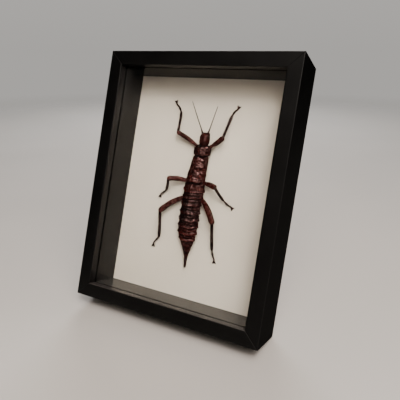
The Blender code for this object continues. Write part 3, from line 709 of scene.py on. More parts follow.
def close_tree(tree, entry, geometry):
    """Ends a tree: copies are made real and given their finish."""
    real = add(tree, "GeometryNodeRealizeInstances", {"Geometry": geometry})
    coated = add(tree, "GeometryNodeSetMaterial", {"Geometry": real, "Material": entry["Coat"]})
    add(tree, "NodeGroupOutput", {"Geometry": coated})
    return tree


def use_tree(piece, tree, **values):
    """Puts the tree on the piece as a modifier, with its inputs set."""
    modifier = piece.modifiers.new(tree.name, "NODES")
    modifier.node_group = tree
    for item in tree.interface.items_tree:
        label = item.name.replace(" ", "_")
        if item.in_out == "INPUT" and label in values:
            modifier[item.identifier] = values[label]


def grown(piece, tree, slot, nodes, **values):
    """Lets the tree grow its shapes on the piece, and sets the smooth result in place."""
    use_tree(piece, tree, **values)
    applied(piece).data.shade_smooth()
    settle(piece, nodes)


def moulding_tree():
    """Sweeps a profile along a straight run and cuts both ends on the mitre."""
    tree, entry = new_tree(
        "mitred_moulding",
        ("Run", "Float"), ("Joint", "Float"), ("Reach", "Float"), ("Turn", "Float"),
        ("Rise", "Float"),
    )
    half = add(tree, "ShaderNodeMath", (entry["Run"], 2.0), operation="DIVIDE")
    back = add(tree, "ShaderNodeMath", (half, -1.0), operation="MULTIPLY")
    line = add(tree, "GeometryNodeCurvePrimitiveLine", {
        "Start": add(tree, "ShaderNodeCombineXYZ", {"X": back}),
        "End": add(tree, "ShaderNodeCombineXYZ", {"X": half}),
    })
    profile = add(tree, "GeometryNodeMeshToCurve", {"Mesh": entry["Geometry"]})
    swept = add(tree, "GeometryNodeCurveToMesh", {
        "Curve": line, "Profile Curve": profile, "Fill Caps": True,
    })
    x, y, z = add(
        tree, "ShaderNodeSeparateXYZ", (add(tree, "GeometryNodeInputPosition"),),
    ).outputs
    inward = add(tree, "ShaderNodeMath", (z, entry["Joint"]), operation="ADD")
    share = add(tree, "ShaderNodeMath", (inward, half), operation="DIVIDE")
    shrink = add(tree, "ShaderNodeMath", (1.0, share), operation="SUBTRACT")
    mitred = add(tree, "GeometryNodeSetPosition", {
        "Geometry": swept,
        "Position": add(tree, "ShaderNodeCombineXYZ", (
            add(tree, "ShaderNodeMath", (x, shrink), operation="MULTIPLY"), y,
            add(tree, "ShaderNodeMath", (z, entry["Reach"]), operation="SUBTRACT"),
        )),
    })
    turned = add(tree, "GeometryNodeTransform", {
        "Geometry": mitred,
        "Rotation": add(tree, "ShaderNodeCombineXYZ", {"Y": entry["Turn"]}),
        "Translation": add(tree, "ShaderNodeCombineXYZ", {"Z": entry["Rise"]}),
    })
    return close_tree(tree, entry, turned)


def thorn_tree():
    """Sets a curved, tapered thorn on each point, along its direction and bent to its lean."""
    tree, entry = new_tree("thorns", ("Sides", "Int"), ("Levels", "Int"), ("Bend", "Float"))
    cone = add(tree, "GeometryNodeMeshCone", {
        "Vertices": entry["Sides"], "Side Segments": entry["Levels"],
        "Radius Top": 0.08, "Radius Bottom": 1.0, "Depth": 1.0,
    })
    height = add(
        tree, "ShaderNodeSeparateXYZ", (add(tree, "GeometryNodeInputPosition"),),
    ).outputs["Z"]
    rise = add(tree, "ShaderNodeMath", (height, height), operation="MULTIPLY")
    aside = add(tree, "ShaderNodeMath", (rise, entry["Bend"]), operation="MULTIPLY")
    thorn = add(tree, "GeometryNodeSetPosition", {
        "Geometry": cone, "Offset": add(tree, "ShaderNodeCombineXYZ", {"X": aside}),
    })
    direction, lean, length, radius = (
        add(tree, "GeometryNodeInputNamedAttribute", {"Name": label}, data_type=kind)
        for label, kind in (
            ("direction", "FLOAT_VECTOR"), ("lean", "FLOAT_VECTOR"),
            ("length", "FLOAT"), ("radius", "FLOAT"),
        )
    )
    upright = add(tree, "FunctionNodeAlignRotationToVector", {"Vector": direction}, axis="Z")
    facing = add(tree, "FunctionNodeAlignRotationToVector", {
        "Rotation": upright, "Vector": lean,
    }, axis="X", pivot_axis="Z")
    planted = add(tree, "GeometryNodeInstanceOnPoints", {
        "Points": entry["Geometry"], "Instance": thorn, "Rotation": facing,
        "Scale": add(tree, "ShaderNodeCombineXYZ", (radius, radius, length)),
    })
    return close_tree(tree, entry, planted)


def granule_tree():
    """Scatters small rounded grains over a skin, where its grain share allows."""
    tree, entry = new_tree(
        "granules", ("Density", "Float"), ("Small", "Float"), ("Large", "Float"),
    )
    share = add(
        tree, "GeometryNodeInputNamedAttribute", {"Name": "granular"}, data_type="FLOAT",
    )
    density = add(tree, "ShaderNodeMath", (entry["Density"], share), operation="MULTIPLY")
    dots = add(tree, "GeometryNodeDistributePointsOnFaces", {
        "Mesh": entry["Geometry"], "Density": density, "Seed": GRAIN_SEED,
    }, distribute_method="RANDOM")
    size = add(
        tree, "FunctionNodeRandomValue", {2: entry["Small"], 3: entry["Large"]},
        data_type="FLOAT",
    )
    ball = add(tree, "GeometryNodeMeshIcoSphere", {"Radius": 1.0, "Subdivisions": 2})
    flat = add(tree, "GeometryNodeTransform", {"Geometry": ball, "Scale": (1.0, 1.0, 0.7)})
    planted = add(tree, "GeometryNodeInstanceOnPoints", {
        "Points": dots, "Instance": flat, "Rotation": dots.outputs["Rotation"], "Scale": size,
    })
    return close_tree(tree, entry, planted)


def whip_tree():
    """Threads tapering joints along a line of edges, each a little wider at its far end."""
    tree, entry = new_tree(
        "jointed_whip", ("Joints", "Int"), ("Joint Length", "Float"), ("Thick", "Float"),
        ("Thin", "Float"),
    )
    line = add(tree, "GeometryNodeMeshToCurve", {"Mesh": entry["Geometry"]})
    kept = add(tree, "GeometryNodeCaptureAttribute", {"Geometry": line})
    kept.capture_items.new("FLOAT", "Factor")
    feed(tree, kept, {"Factor": add(tree, "GeometryNodeSplineParameter")})
    dots = add(
        tree, "GeometryNodeCurveToPoints", {"Curve": kept, "Count": entry["Joints"]},
        mode="COUNT",
    )
    bead = add(tree, "GeometryNodeMeshCone", {
        "Vertices": 10, "Side Segments": 3, "Radius Top": 1.0, "Radius Bottom": 0.78,
        "Depth": 1.0,
    })
    width = add(
        tree, "ShaderNodeMapRange",
        (kept.outputs["Factor"], 0.0, 1.0, entry["Thick"], entry["Thin"]),
    )
    threaded = add(tree, "GeometryNodeInstanceOnPoints", {
        "Points": dots, "Instance": bead, "Rotation": dots.outputs["Rotation"],
        "Scale": add(tree, "ShaderNodeCombineXYZ", (width, width, entry["Joint Length"])),
    })
    return close_tree(tree, entry, threaded)


# The case

def rounded(corners):
    """A closed profile whose square corners (y, inward, radius) are rounded off."""
    line = []
    count = len(corners)
    for i, (y, inward, radius) in enumerate(corners):
        here = np.array((y, inward))
        before = here - np.array(corners[i - 1][:2])
        after = np.array(corners[(i + 1) % count][:2]) - here
        before, after = before / np.linalg.norm(before), after / np.linalg.norm(after)
        if radius == 0:
            line.append(here)
            continue
        centre = here + (after - before) * radius
        for turn in np.linspace(0, math.pi / 2, 7):
            line.append(centre + (before * math.sin(turn) - after * math.cos(turn)) * radius)
    return line


def profile_piece(name, corners):
    """The profile as a loop of edges, ready for the moulding tree."""
    line = rounded(corners)
    edges = [(i, (i + 1) % len(line)) for i in range(len(line))]
    return shaped(name, [(-y, -inward, 0.0) for y, inward in line], edges)


def softened(piece, width, segments=2):
    """Breaks the sharp edges left on the piece, and keeps its flat faces flat."""
    edges = piece.modifiers.new("edges", "BEVEL")
    edges.width, edges.segments = width, segments
    edges.angle_limit = math.radians(40)
    piece.modifiers.new("collapsed_edges", "WELD").merge_threshold = WELD_GAP
    piece.modifiers.new("flat_faces", "WEIGHTED_NORMAL").keep_sharp = True


def recoat(piece, coat, chosen):
    """Gives another finish to the faces that the test picks by place: inward and depth."""
    piece.data.materials.append(coat)
    for face in piece.data.polygons:
        x, depth, z = face.center
        inward = min(CASE_WIDTH / 2 - abs(x), z, CASE_HEIGHT - z)
        if chosen(inward, depth):
            face.material_index = len(piece.data.materials) - 1


def mouldings(tree, label, node, corners, slot, coat, *others):
    """The four mitred sides that share one profile, with other finishes on some faces."""
    sides = (
        ("bottom", CASE_WIDTH, CASE_HEIGHT / 2, 0.0), ("top", CASE_WIDTH, CASE_HEIGHT / 2, 180.0),
        ("left", CASE_HEIGHT, CASE_WIDTH / 2, 90.0), ("right", CASE_HEIGHT, CASE_WIDTH / 2, -90.0),
    )
    for side, run, reach, turn in sides:
        piece = profile_piece(label + "_" + side, corners)
        use_tree(
            piece, tree, Run=run, Joint=MITRE_JOINT, Reach=reach, Turn=math.radians(turn),
            Rise=CASE_HEIGHT / 2, Coat=coat,
        )
        softened(piece, MOULDING_ROUND)
        applied(piece)
        for other, chosen in others:
            recoat(piece, other, chosen)
        settle(piece, [node + "_" + side])


def case():
    """Four rails with a lip, four inner walls, and finishes for glass, card and board."""
    tree = moulding_tree()
    satin = lacquer("satin_black_lacquer", 0.22, 0.85, "#040404", "#080808")
    matt = lacquer("matt_black_lacquer", 0.05, 0.12, "#060606", "#0b0b0b")
    smooth = wall_paint()
    rail = (
        (0.0, 0.0, EDGE_ROUND), (CASE_DEPTH, 0.0, BACK_ROUND),
        (CASE_DEPTH, RAIL_WALL, BACK_ROUND),
        (LIP_DEPTH, RAIL_WALL, 0.0), (LIP_DEPTH, FACE_WIDTH, LIP_ROUND),
        (0.0, FACE_WIDTH, EDGE_ROUND),
    )
    front = LIP_DEPTH + GLASS_THICKNESS + 2 * FIT + GLASS_GAP
    back = CARD_FRONT - WALL_END_GAP
    wall = (
        (front, RAIL_WALL + FIT, WALL_ROUND), (back, RAIL_WALL + FIT, WALL_ROUND),
        (back, FACE_WIDTH, WALL_ROUND), (front, FACE_WIDTH, WALL_FRONT_ROUND),
    )
    mouldings(
        tree, "rail", "rail", rail, "frame_paint", satin,
        (smooth, lambda inward, depth: inward > FACE_WIDTH - NEAR and depth < LIP_DEPTH),
        (matt, lambda inward, depth: inward < NEAR),
    )
    mouldings(
        tree, "wall", "spacer", wall, "inner_wall", smooth,
        (matt, lambda inward, depth: depth < front + FIT and inward < FACE_WIDTH - NEAR),
    )
    for name, coat in (
        ("glass", float_glass()), ("backing_card", mount_board()), ("back_board", hardboard()),
    ):
        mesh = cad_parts[name].data
        mesh.materials.clear()
        mesh.materials.append(coat)


def block(name, rings, coat, width, segments=2):
    """A solid between two four-cornered rings, with its edges broken."""
    faces = [(3, 2, 1, 0), (4, 5, 6, 7)]
    faces += [(i, (i + 1) % 4, 4 + (i + 1) % 4, 4 + i) for i in range(4)]
    piece = shaped(name, [*rings[0], *rings[1]], faces=faces)
    piece.data.materials.append(coat)
    solid = bmesh.new()
    solid.from_mesh(piece.data)
    bmesh.ops.recalc_face_normals(solid, faces=solid.faces)
    solid.to_mesh(piece.data)
    solid.free()
    piece.data.shade_smooth()
    softened(piece, width, segments)
    return applied(piece)


def driven_tabs():
    """Thin steel points, driven into the rails and lying on the board."""
    back = BOARD_BACK + TAB_GAP
    share, aside = np.array(TAB_SHAPE).T
    inward = RAIL_WALL - TAB_ROOT + share * TAB_LENGTH
    reach = {
        "left": inward - CASE_WIDTH / 2, "right": CASE_WIDTH / 2 - inward,
        "bottom": inward, "top": CASE_HEIGHT - inward,
    }
    tabs = []
    for side, places in TABS.items():
        for middle in places:
            x, z = reach[side], middle + aside * TAB_WIDTH / 2
            if side in ("bottom", "top"):
                x, z = z, x
            tabs.append(closed([joined(x, y, z) for y in (back, back + TAB_THICKNESS)]))
    return tabs


def screw_head(x, back):
    """A domed head standing back from the hinge plate, with a cross recess."""
    round_on = math.tau * np.arange(96) / 96
    dome = [
        (r, SCREW_HEIGHT * math.sqrt(1 - (r / SCREW_CURVE) ** 2))
        for r in np.linspace(0.1, SCREW_RADIUS, 22)
    ]
    rings = []
    for radius, height in dome + [(SCREW_RADIUS, 0.0)]:
        across, up = radius * np.cos(round_on), radius * np.sin(round_on)
        narrow, wide = np.minimum(abs(across), abs(up)), np.maximum(abs(across), abs(up))
        recess = (narrow < RECESS_HALF) * (wide < RECESS_REACH * SCREW_RADIUS)
        height = height - RECESS_DEPTH * recess
        rings.append(joined(x + across, back + height, HINGE_MIDDLE + SCREW_RISE + up))
    return closed(rings)


def hardware(back):
    """Screws through the hinge plate, and the hinge's knuckles."""
    parts = [screw_head(x, back) for x in SCREWS]
    run = STRUT_TOP_WIDTH - KNUCKLE_INSET
    length = run / KNUCKLES
    round_on = math.tau * np.arange(28) / 28
    ends = [*KNUCKLE_END, *((length - at, size) for at, size in KNUCKLE_END[::-1])]
    for number in range(KNUCKLES):
        start = -run / 2 + number * length
        parts.append(closed([joined(
            start + at, back + KNUCKLE_GAP + KNUCKLE_RADIUS * (1 + size * np.cos(round_on)),
            HINGE_MIDDLE + KNUCKLE_RISE + KNUCKLE_RADIUS * size * np.sin(round_on),
        ) for at, size in ends]))
    return parts


def stand():
    """The easel strut: a steel plate screwed to the board, and a covered leg to the floor."""
    half = STRUT_TOP_WIDTH / 2
    plate_front = BOARD_BACK + FIT
    plate_back = plate_front + HINGE_THICKNESS
    low, high = HINGE_HEIGHT, HINGE_HEIGHT + HINGE_LENGTH
    rings = [
        [(-half, y, low), (half, y, low), (half, y, high), (-half, y, high)]
        for y in (plate_front, plate_back)
    ]
    pressed = steel("blackened_steel", "#1d1c1b", "#34312e", 0.42)
    plate = block("hinge_plate", rings, pressed, PLATE_ROUND)
    settle(plate, ["stand_hinge"])
    zinc = steel("zinc_plated_steel", "#8a8781", "#b5b1a8", 0.36)
    screws = piece_of("hinge_hardware", hardware(plate_back), zinc)
    settle(screws, ["stand_hinge"])
    tabs = piece_of("board_tabs", driven_tabs(), zinc)
    softened(tabs, TAB_ROUND)
    settle(applied(tabs), ["stand_hinge"])

    world = CASE.inverted()
    top_y, top_z = stood(plate_back + FIT, HINGE_MIDDLE)
    slope = (STRUT_FOOT_BACK - top_y) / top_z
    spread = math.radians(LEAN) + math.atan(slope)
    cut = STRUT_THICKNESS / math.sin(spread)
    low_y, low_z = stood(plate_back + FIT, HINGE_MIDDLE - cut)
    rings = []
    for y, z in ((top_y, top_z), (low_y, low_z)):
        foot = y + z * slope
        ring = [
            (-half, y, z), (half, y, z),
            (STRUT_FOOT_WIDTH / 2, foot, 0.0), (-STRUT_FOOT_WIDTH / 2, foot, 0.0),
        ]
        rings.append([world @ (Vector(p) * MM) for p in ring])
    leg = block("strut_leg", rings, covered_board(), LEG_ROUND, segments=3)
    settle(leg, ["stand_strut"])


# The insect

def smoothed(table, at, spread):
    """The stations' values at each height, with the corners between stations rounded."""
    rows = np.array(sorted(table))
    step = 0.1
    fine = np.arange(rows[0, 0] - 6 * spread, rows[-1, 0] + 6 * spread, step)
    reach = np.arange(-3 * spread, 3 * spread + step, step)
    weights = np.exp(-(reach / spread) ** 2)
    weights /= weights.sum()
    values = []
    for k in range(1, rows.shape[1]):
        soft = np.convolve(np.interp(fine, rows[:, 0], rows[:, k]), weights, "same")
        values.append(np.interp(at, fine, soft))
    return values


def eased(at, knots):
    """Values between knots, joined by smooth steps."""
    marks, levels = np.array(knots, float).T
    low = np.clip(np.searchsorted(marks, at, "right") - 1, 0, len(marks) - 2)
    share = np.clip((at - marks[low]) / (marks[low + 1] - marks[low]), 0, 1)
    share = share * share * (3 - 2 * share)
    return levels[low] + (levels[low + 1] - levels[low]) * share


def both_sides(turn, angle, width):
    """A ridge along the body at this angle on both of its sides, in degrees."""
    degrees = np.degrees(turn)
    return hump(degrees - angle, width) + hump(degrees - (180 - angle), width)


def outline(stations, turn, swell, roof, floor, lift):
    """Across and height of points round a body, pushed out by lift along its normal."""
    middle, half, belly, waist, back = stations
    sine, cosine = np.sin(turn), np.cos(turn)
    upper = sine >= 0
    reach = np.where(upper, back - waist, waist - belly)
    power = np.where(upper, roof, floor)
    across = half * swell * np.sign(cosine) * np.abs(cosine) ** power
    height = reach * swell * np.sign(sine) * np.abs(sine) ** power
    normal_across, normal_up = cosine * reach, sine * half
    size = np.hypot(normal_across, normal_up)
    across = middle + across + lift * normal_across / size
    height = waist + height + lift * normal_up / size
    return across, np.maximum(height, 0.3)


def body_surface(up, turn):
    """The trunk's skin from the neck to the beak, with the marks on it."""
    stations = smoothed(STATIONS, up, BODY_BLEND)
    half = stations[1]
    size = half / 11
    sine = np.sin(turn)
    upper = np.clip(sine, 0, 1)
    bowed = up + size * (0.9 * upper ** 2 + 1.3 * both_sides(turn, 58, 24))
    bowed += size * 0.5 * wander(turn * half + 33, up, (4.0, 30.0), 2)
    rears, folds, reds, granular = np.array([row[1:] for row in SEGMENTS]).T
    fronts = np.append(NECK + 0.6, rears[:-1])
    number = np.clip(sum(rear >= bowed for rear in rears), 0, len(SEGMENTS) - 1)

    # Each plate swells between its front and its rear fold
    from_front = np.maximum(fronts[number] - bowed, 0)
    from_rear = np.maximum(bowed - rears[number], 0)
    share = from_front / (from_front + from_rear)
    front_fold = np.append(0.5, folds[:-1])[number]
    rear_fold = folds[number]
    swell = eased(share, PLATE_SWELL)
    swell = np.where(number == 0, eased(share, SHIELD_SWELL), swell)
    swell = np.where(number == 1, eased(share, LONG_SWELL), swell)
    swell = np.where(number == len(SEGMENTS) - 1, eased(share, BEAK_SWELL), swell)

    # Folds between the plates, a belt across each, and points along the flanks
    tail = number >= FIRST_TAIL
    beak = number == len(SEGMENTS) - 1
    belt = (number > 2) & ~tail
    top = 0.35 + 0.65 * upper ** 0.5
    lift = -1.15 * front_fold * hump(from_front, 0.7 + 0.55 * front_fold) * top
    lift -= 0.85 * rear_fold * hump(from_rear, 0.25) * top
    lift += 0.35 * rear_fold * hump(from_rear - 0.95, 0.7) * top
    lift -= belt * 0.95 * hump(share - 0.46, 0.17) * upper
    lift += both_sides(turn, 0, 16) * np.where(
        number < FIRST_TAIL, 0.5 * hump(share - 0.8, 0.16) - 0.35 * hump(share, 0.16), 0,
    )

    # Wrinkles, which die out on the belly
    arc = turn * half
    calm = np.clip((sine + 1) / 0.25, 0, 1)
    rough = calm * np.clip(size, 0.25, 1) * (0.35 + 0.65 * upper)
    lift += rough * sum(
        wander(arc + shift, up, cell, seed) * np.where(number == 0, shield, behind)
        for shift, cell, seed, shield, behind in WRINKLES
    )

    # A crest along the back, keels along the flanks, hollows between them
    from_top = np.degrees(turn) - 90
    crest = hump(from_top, 6.5) * np.where(tail, 0.1, 0.32)
    crest *= 1 + 0.5 * wander(arc * 0, up, 2.3, 8)
    keel = both_sides(turn, 0, 7) * 0.34 - both_sides(turn, 15, 8) * 0.26
    keel -= both_sides(turn, -17, 8) * 0.36
    hollow = -both_sides(turn, 62, 13) * np.where(belt, 0.3, 0.1)
    lift += (crest + keel + hollow) * np.clip(size, 0.15, 1)

    # Groove and knobs of the pronotum, and the flat sides of the beak
    prothorax = number == 0
    lift -= prothorax * 0.7 * hump(share - 0.42, 0.07) * upper
    lift -= prothorax * 0.5 * hump(from_top, 5) * upper
    lift += prothorax * 0.45 * both_sides(turn, 52, 12) * hump(share - 0.68, 0.18)
    lift -= beak * both_sides(turn, 3, 14) * 0.16

    # Marks for the finish: painted shade in the folds between plates, across the belts, along the
    # flank groove and in random wrinkles; redness; grains; and the gloss mask
    fold = np.maximum(hump(from_front, 0.75 + 0.9 * front_fold), hump(from_rear, 0.5))
    fold *= np.clip(front_fold * 2, 0, 1)
    fold = np.maximum(fold, belt * 0.9 * hump(share - 0.46, 0.15))
    fold = np.maximum(fold * (0.4 + 0.6 * upper), both_sides(turn, -17, 7) * 0.7)
    fold = np.maximum(fold, np.clip(-wander(arc + 60, up, (4.5, 0.75), 3) - 0.45, 0, 1) * 0.8)
    redness = reds[number] + 0.35 * hump(from_rear - 0.9, 0.7)
    redness = np.clip(redness + 0.2 * wander(arc, up, 6.0, 9), 0, 1) * (0.5 + 0.5 * upper)
    grains = granular[number] * np.clip(sine * 2 + 0.9, 0, 1) * (1 - np.clip(fold, 0, 1))
    across, height = outline(stations, turn, swell, 1.34, 0.95, lift)
    # Gloss mask, lower toward the flanks, on the left side, in folds and on the tail; where it is
    # low the shell is dull and painted darker, as painted shade
    sheen = np.clip((sine + 0.5 * np.cos(turn) - 0.32) / 0.45, 0, 1)
    sheen = sheen * (1 - 0.85 * np.clip(fold, 0, 1)) * np.where(tail, 0.7, 1.0)
    marks = {"fold": fold, "redness": redness, "granular": grains, "sheen": sheen}
    return on_card(across, up, height), marks


def head_surface(up, turn):
    """The skull, with its seams, and a collar round each eye."""
    stations = smoothed(HEAD_STATIONS, up, HEAD_BLEND)
    half = stations[1]
    degrees = np.degrees(turn)
    upper = np.clip(np.sin(turn), 0, 1)
    lift = -0.22 * hump(degrees - 90, 4) * np.clip((190 - up) / 2, 0, 1)
    lift += 0.28 * both_sides(turn, 62, 15) * hump(up - 185.2, 2.2)
    lift -= 0.30 * hump(up - 182.3, 0.45) * upper
    lift -= 0.22 * hump(up - 190.9 - 1.2 * upper, 0.25) * upper
    arc = turn * half
    lift += wander(arc + 30, up, 2.2, 31) * 0.12 + wander(arc, up, 0.7, 32) * 0.05
    across, height = outline(stations, turn, 1.0, 1.1, 0.95, lift)
    (_, eye_up, eye_height), (_, eye_radius, _) = EYE
    ring = np.hypot(up - eye_up, height - eye_height) - eye_radius - 0.15
    flank = np.abs(np.cos(turn)) > 0.25
    collar = hump(ring, 0.28) * flank
    across, height = outline(stations, turn, 1.0, 1.1, 0.95, lift + 0.32 * collar)
    # Painted shade in the groove round each eye, in the seam behind the eyes and along the middle
    # line
    fold = np.maximum(hump(ring + 0.35, 0.25) * flank, hump(up - 182.3, 0.4) * 0.8)
    fold = np.maximum(fold, hump(degrees - 90, 2.5) * 0.5 * (up < 190))
    redness = np.clip(0.45 + 0.35 * wander(arc, up, 3.0, 33), 0, 1)
    grains = np.clip(np.sin(turn) + 0.3, 0, 1) * (up < 191)
    # Gloss mask, lower on the flanks and the left side; where it is low the head is dull and
    # painted darker, as painted shade
    sheen = np.clip((np.sin(turn) + 0.4 * np.cos(turn) - 0.3) / 0.45, 0, 1) * 0.55
    marks = {"fold": fold, "redness": redness, "granular": grains, "sheen": sheen}
    return on_card(across, up, height), marks


def skin_over(surface, low, high, step, columns):
    """A closed skin drawn over a surface between two heights; its seam runs along the belly."""
    up = np.linspace(low, high, int((high - low) / step))
    turn = np.radians(-90 + 360 * np.arange(columns) / columns)
    up, turn = np.meshgrid(up, turn, indexing="ij")
    rings, marks = surface(up, turn)
    return closed(rings, **marks)


def spot_on(surface, up, angle):
    """A point of a surface and its outward direction there."""
    up, turn = np.array(float(up)), np.array(math.radians(angle))
    here, ahead, round_on = (
        surface(up + a, turn + b)[0] for a, b in ((0, 0), (0.3, 0), (0, 0.04))
    )
    normal = np.cross(ahead - here, round_on - here)
    return here, -normal / np.linalg.norm(normal)


def on_head(side, shape):
    """An egg shape on one side of the head; its radii run across, up and above the card."""
    (out, up, height), (wide, tall, deep) = shape
    lift = np.linspace(0.04, math.pi - 0.04, 28)[:, None]
    round_on = math.tau * np.arange(36)[None, :] / 36
    points = on_card(
        HEAD_MIDDLE + side * out + wide * np.sin(lift) * np.cos(round_on),
        up + tall * np.cos(lift), height + deep * np.sin(lift) * np.sin(round_on),
    )
    return closed(points, redness=0.25, sheen=0.7)


def through(points, steps):
    """Points on a smooth line through the given ones."""
    knots = [np.asarray(p, float) for p in points]
    knots = [knots[0] * 2 - knots[1], *knots, knots[-1] * 2 - knots[-2]]
    line = []
    for a, b, c, d in zip(knots, knots[1:], knots[2:], knots[3:]):
        for t in np.arange(steps) / steps:
            line.append(0.5 * (
                2 * b + (c - a) * t + (2 * a - 5 * b + 4 * c - d) * t * t
                + (3 * b - a - 3 * c + d) * t ** 3
            ))
    line.append(knots[-2])
    return np.array(line)


def frames(line):
    """Along, across and outward directions at each point of a line over the card."""
    along = np.gradient(line, axis=0)
    along /= np.linalg.norm(along, axis=1)[:, None]
    across = np.cross(along, (0.0, 1.0, 0.0))
    across /= np.linalg.norm(across, axis=1)[:, None]
    return along, across, np.cross(along, across)


def limb(line, radii, columns=40, square=2.0, flat=1.0, keels=0.0, rough=0.05, seed=1, ends=1.0):
    """A skin round a line, squarish in section, keeled, lightly wrinkled, with domed ends."""
    radii = np.broadcast_to(radii, len(line)).astype(float)
    along, across, out = frames(line)
    levels = np.radians(np.linspace(80, 16, 5))
    centres = [
        line[0] - along[0] * radii[0] * ends * np.sin(levels)[:, None], line,
        line[-1] + along[-1] * radii[-1] * ends * np.sin(levels[::-1])[:, None],
    ]
    sizes = np.concatenate([radii[0] * np.cos(levels), radii, radii[-1] * np.cos(levels[::-1])])
    across = np.vstack([across[:1].repeat(5, 0), across, across[-1:].repeat(5, 0)])
    out = np.vstack([out[:1].repeat(5, 0), out, out[-1:].repeat(5, 0)])
    turn = math.tau * np.arange(columns)[None, :] / columns
    cosine, sine = np.cos(turn), np.sin(turn)
    shape = (np.abs(cosine) ** square + np.abs(sine) ** square) ** (-1 / square)
    gaps = np.linalg.norm(np.diff(np.vstack(centres), axis=0), axis=1)
    run = np.concatenate([[0], np.cumsum(gaps)])[:, None]
    fade = np.clip(sizes / sizes.max() * 1.6 - 0.5, 0, 1)[:, None]
    swing = (turn / math.tau) * 256
    lift = wander(swing * 0.09 + seed * 9, run, (1.0, 0.55), seed) * rough * fade
    lift = lift * np.abs(np.sin(turn / 2)) ** 0.3
    lift += keels * np.cos(4 * turn - math.pi) ** 5 * fade * (np.cos(4 * turn - math.pi) > 0)
    spread = (sizes[:, None] * shape + lift)[..., None]
    rings = np.vstack(centres)[:, None] + (
        across[:, None] * cosine[..., None] + out[:, None] * sine[..., None] * flat
    ) * spread
    rings[..., 1] = np.minimum(rings[..., 1], CARD_FRONT - 0.1)
    total = run[-1, 0]
    # Painted shade at both ends of the joint, where it meets the next one
    fold = np.maximum(hump(run, 0.5), hump(total - run, 0.5))
    redness = 0.25 + 0.35 * hump(total - run, 2.0) + 0.2 * wander(swing, run, 2.5, seed)
    # Gloss mask, low on the underside, where the dull shell is painted darker as painted shade
    return closed(
        rings, fold=fold * 0.7, redness=np.clip(redness, 0, 1),
        granular=np.clip(sine + 0.4, 0, 1), sheen=np.clip((sine + 0.1) / 0.6, 0, 1),
    )


def thorns(name, tree, spots, coat, slot, nodes, sides=9, levels=5):
    """Thorns on spots, each given as place, direction, lean, length and radius."""
    places, *fields = zip(*spots)
    piece = shaped(name, places)
    labels = (
        ("direction", "FLOAT_VECTOR", "vector"), ("lean", "FLOAT_VECTOR", "vector"),
        ("length", "FLOAT", "value"), ("radius", "FLOAT", "value"),
    )
    for values, (label, kind, key) in zip(fields, labels):
        layer = piece.data.attributes.new(label, kind, "POINT")
        layer.data.foreach_set(key, np.array(values, np.float32).ravel())
    grown(piece, tree, slot, nodes, Sides=sides, Levels=levels, Bend=THORN_BEND, Coat=coat)


def segment_spines():
    """Spines in pairs on the flanks and the back of the segments, leaning to the tail."""
    draw = np.random.default_rng(BODY_SPINE_SEED)
    spots = []
    front = NECK
    for name, rear, *_ in SEGMENTS:
        for share, angle, length in SEGMENT_SPINES.get(name, ()):
            for side in (angle, 180 - angle):
                place, normal = spot_on(body_surface, front + (rear - front) * share, side)
                size = length * draw.uniform(0.9, 1.15)
                spots.append((
                    place - normal * SPINE_ROOT, normal + np.array((0.0, 0.0, -SPINE_RAKE)),
                    (0.0, 0.0, -1.0), size + SPINE_ROOT, 0.28 + 0.22 * length,
                ))
        front = rear
    return spots


def shell(part, surface, rings, nodes, tree, coat, **sizes):
    """The skin of the body or the head, and the small grains that stand on it."""
    skin = piece_of(part + "_skin", [skin_over(surface, *rings)], coat)
    grains = shown(part + "_grains", skin.data.copy())
    settle(skin, nodes)
    grown(grains, tree, "body_shell", nodes, Coat=coat, **sizes)


def trunk(trees, coat):
    """The body from the neck to the beak, with its grains and spines."""
    nodes = [row[0] for row in SEGMENTS]
    shell(
        "body", body_surface, BODY_RINGS, nodes, trees["granules"], coat,
        Density=0.45, Small=0.10, Large=0.32,
    )
    spots = segment_spines()
    thorns("body_spines", trees["thorns"], spots, coat, "body_shell", nodes[:FIRST_TAIL])


def mouthparts():
    """Labrum, jaws, the sockets of the antennae, and the short feelers of the mouth."""
    parts = [on_head(1, LABRUM)]
    for side in (-1, 1):
        line = through([on_card(HEAD_MIDDLE + side * x, z, h) for x, z, h in FEELER], 12)
        radii = 0.36 + 0.09 * np.cos(np.linspace(0, 6 * math.pi, len(line)))
        radii = radii * np.linspace(1.2, 0.9, len(line))
        feeler = limb(line, radii, 20, seed=FEELER_SEED)
        parts += [on_head(side, JAW), on_head(side, SOCKET), feeler]
    return parts


def crown():
    """Spots for the spines on top of the head."""
    spots = []
    for side in (-1, 1):
        for out, up, height, length in CROWN_SPINES:
            root = on_card(HEAD_MIDDLE + side * out * 0.9, up + 0.2, height - 0.3)
            tip = on_card(HEAD_MIDDLE + side * out * 1.2, up - 0.6, height + length)
            spots.append((root, tip - root, (0.0, 0.0, -1.0), 1.3 * length, 0.5))
    return spots


def antenna(label, tree, dark, brown):
    """A thick first joint, a short second one, and a whip of small joints."""
    line = through([on_card(*p) for p in ANTENNAE[label]], SCAPE_STEPS)
    radii = eased(np.linspace(0, 1, SCAPE_STEPS + 1), SCAPE_SHAPE)
    joints = [
        limb(line[:SCAPE_STEPS + 1], radii, 28, rough=0.03, seed=SCAPE_SEED),
        limb(
            line[PEDICEL_START:WHIP_START + 1], PEDICEL_RADIUS, 24, rough=0.02,
            seed=PEDICEL_SEED, ends=0.7,
        ),
    ]
    settle(piece_of("scape_" + label, joints, dark), ["antenna_" + label])
    line = line[WHIP_START:]
    piece = shaped("whip_" + label, line, [(i, i + 1) for i in range(len(line) - 1)])
    total = np.linalg.norm(np.diff(line, axis=0), axis=1).sum()
    grown(
        piece, tree, "antenna", ["antenna_" + label], Joints=WHIP_JOINTS,
        Joint_Length=total / WHIP_LENGTHS, Thick=WHIP_THICK, Thin=WHIP_THIN, Coat=brown,
    )


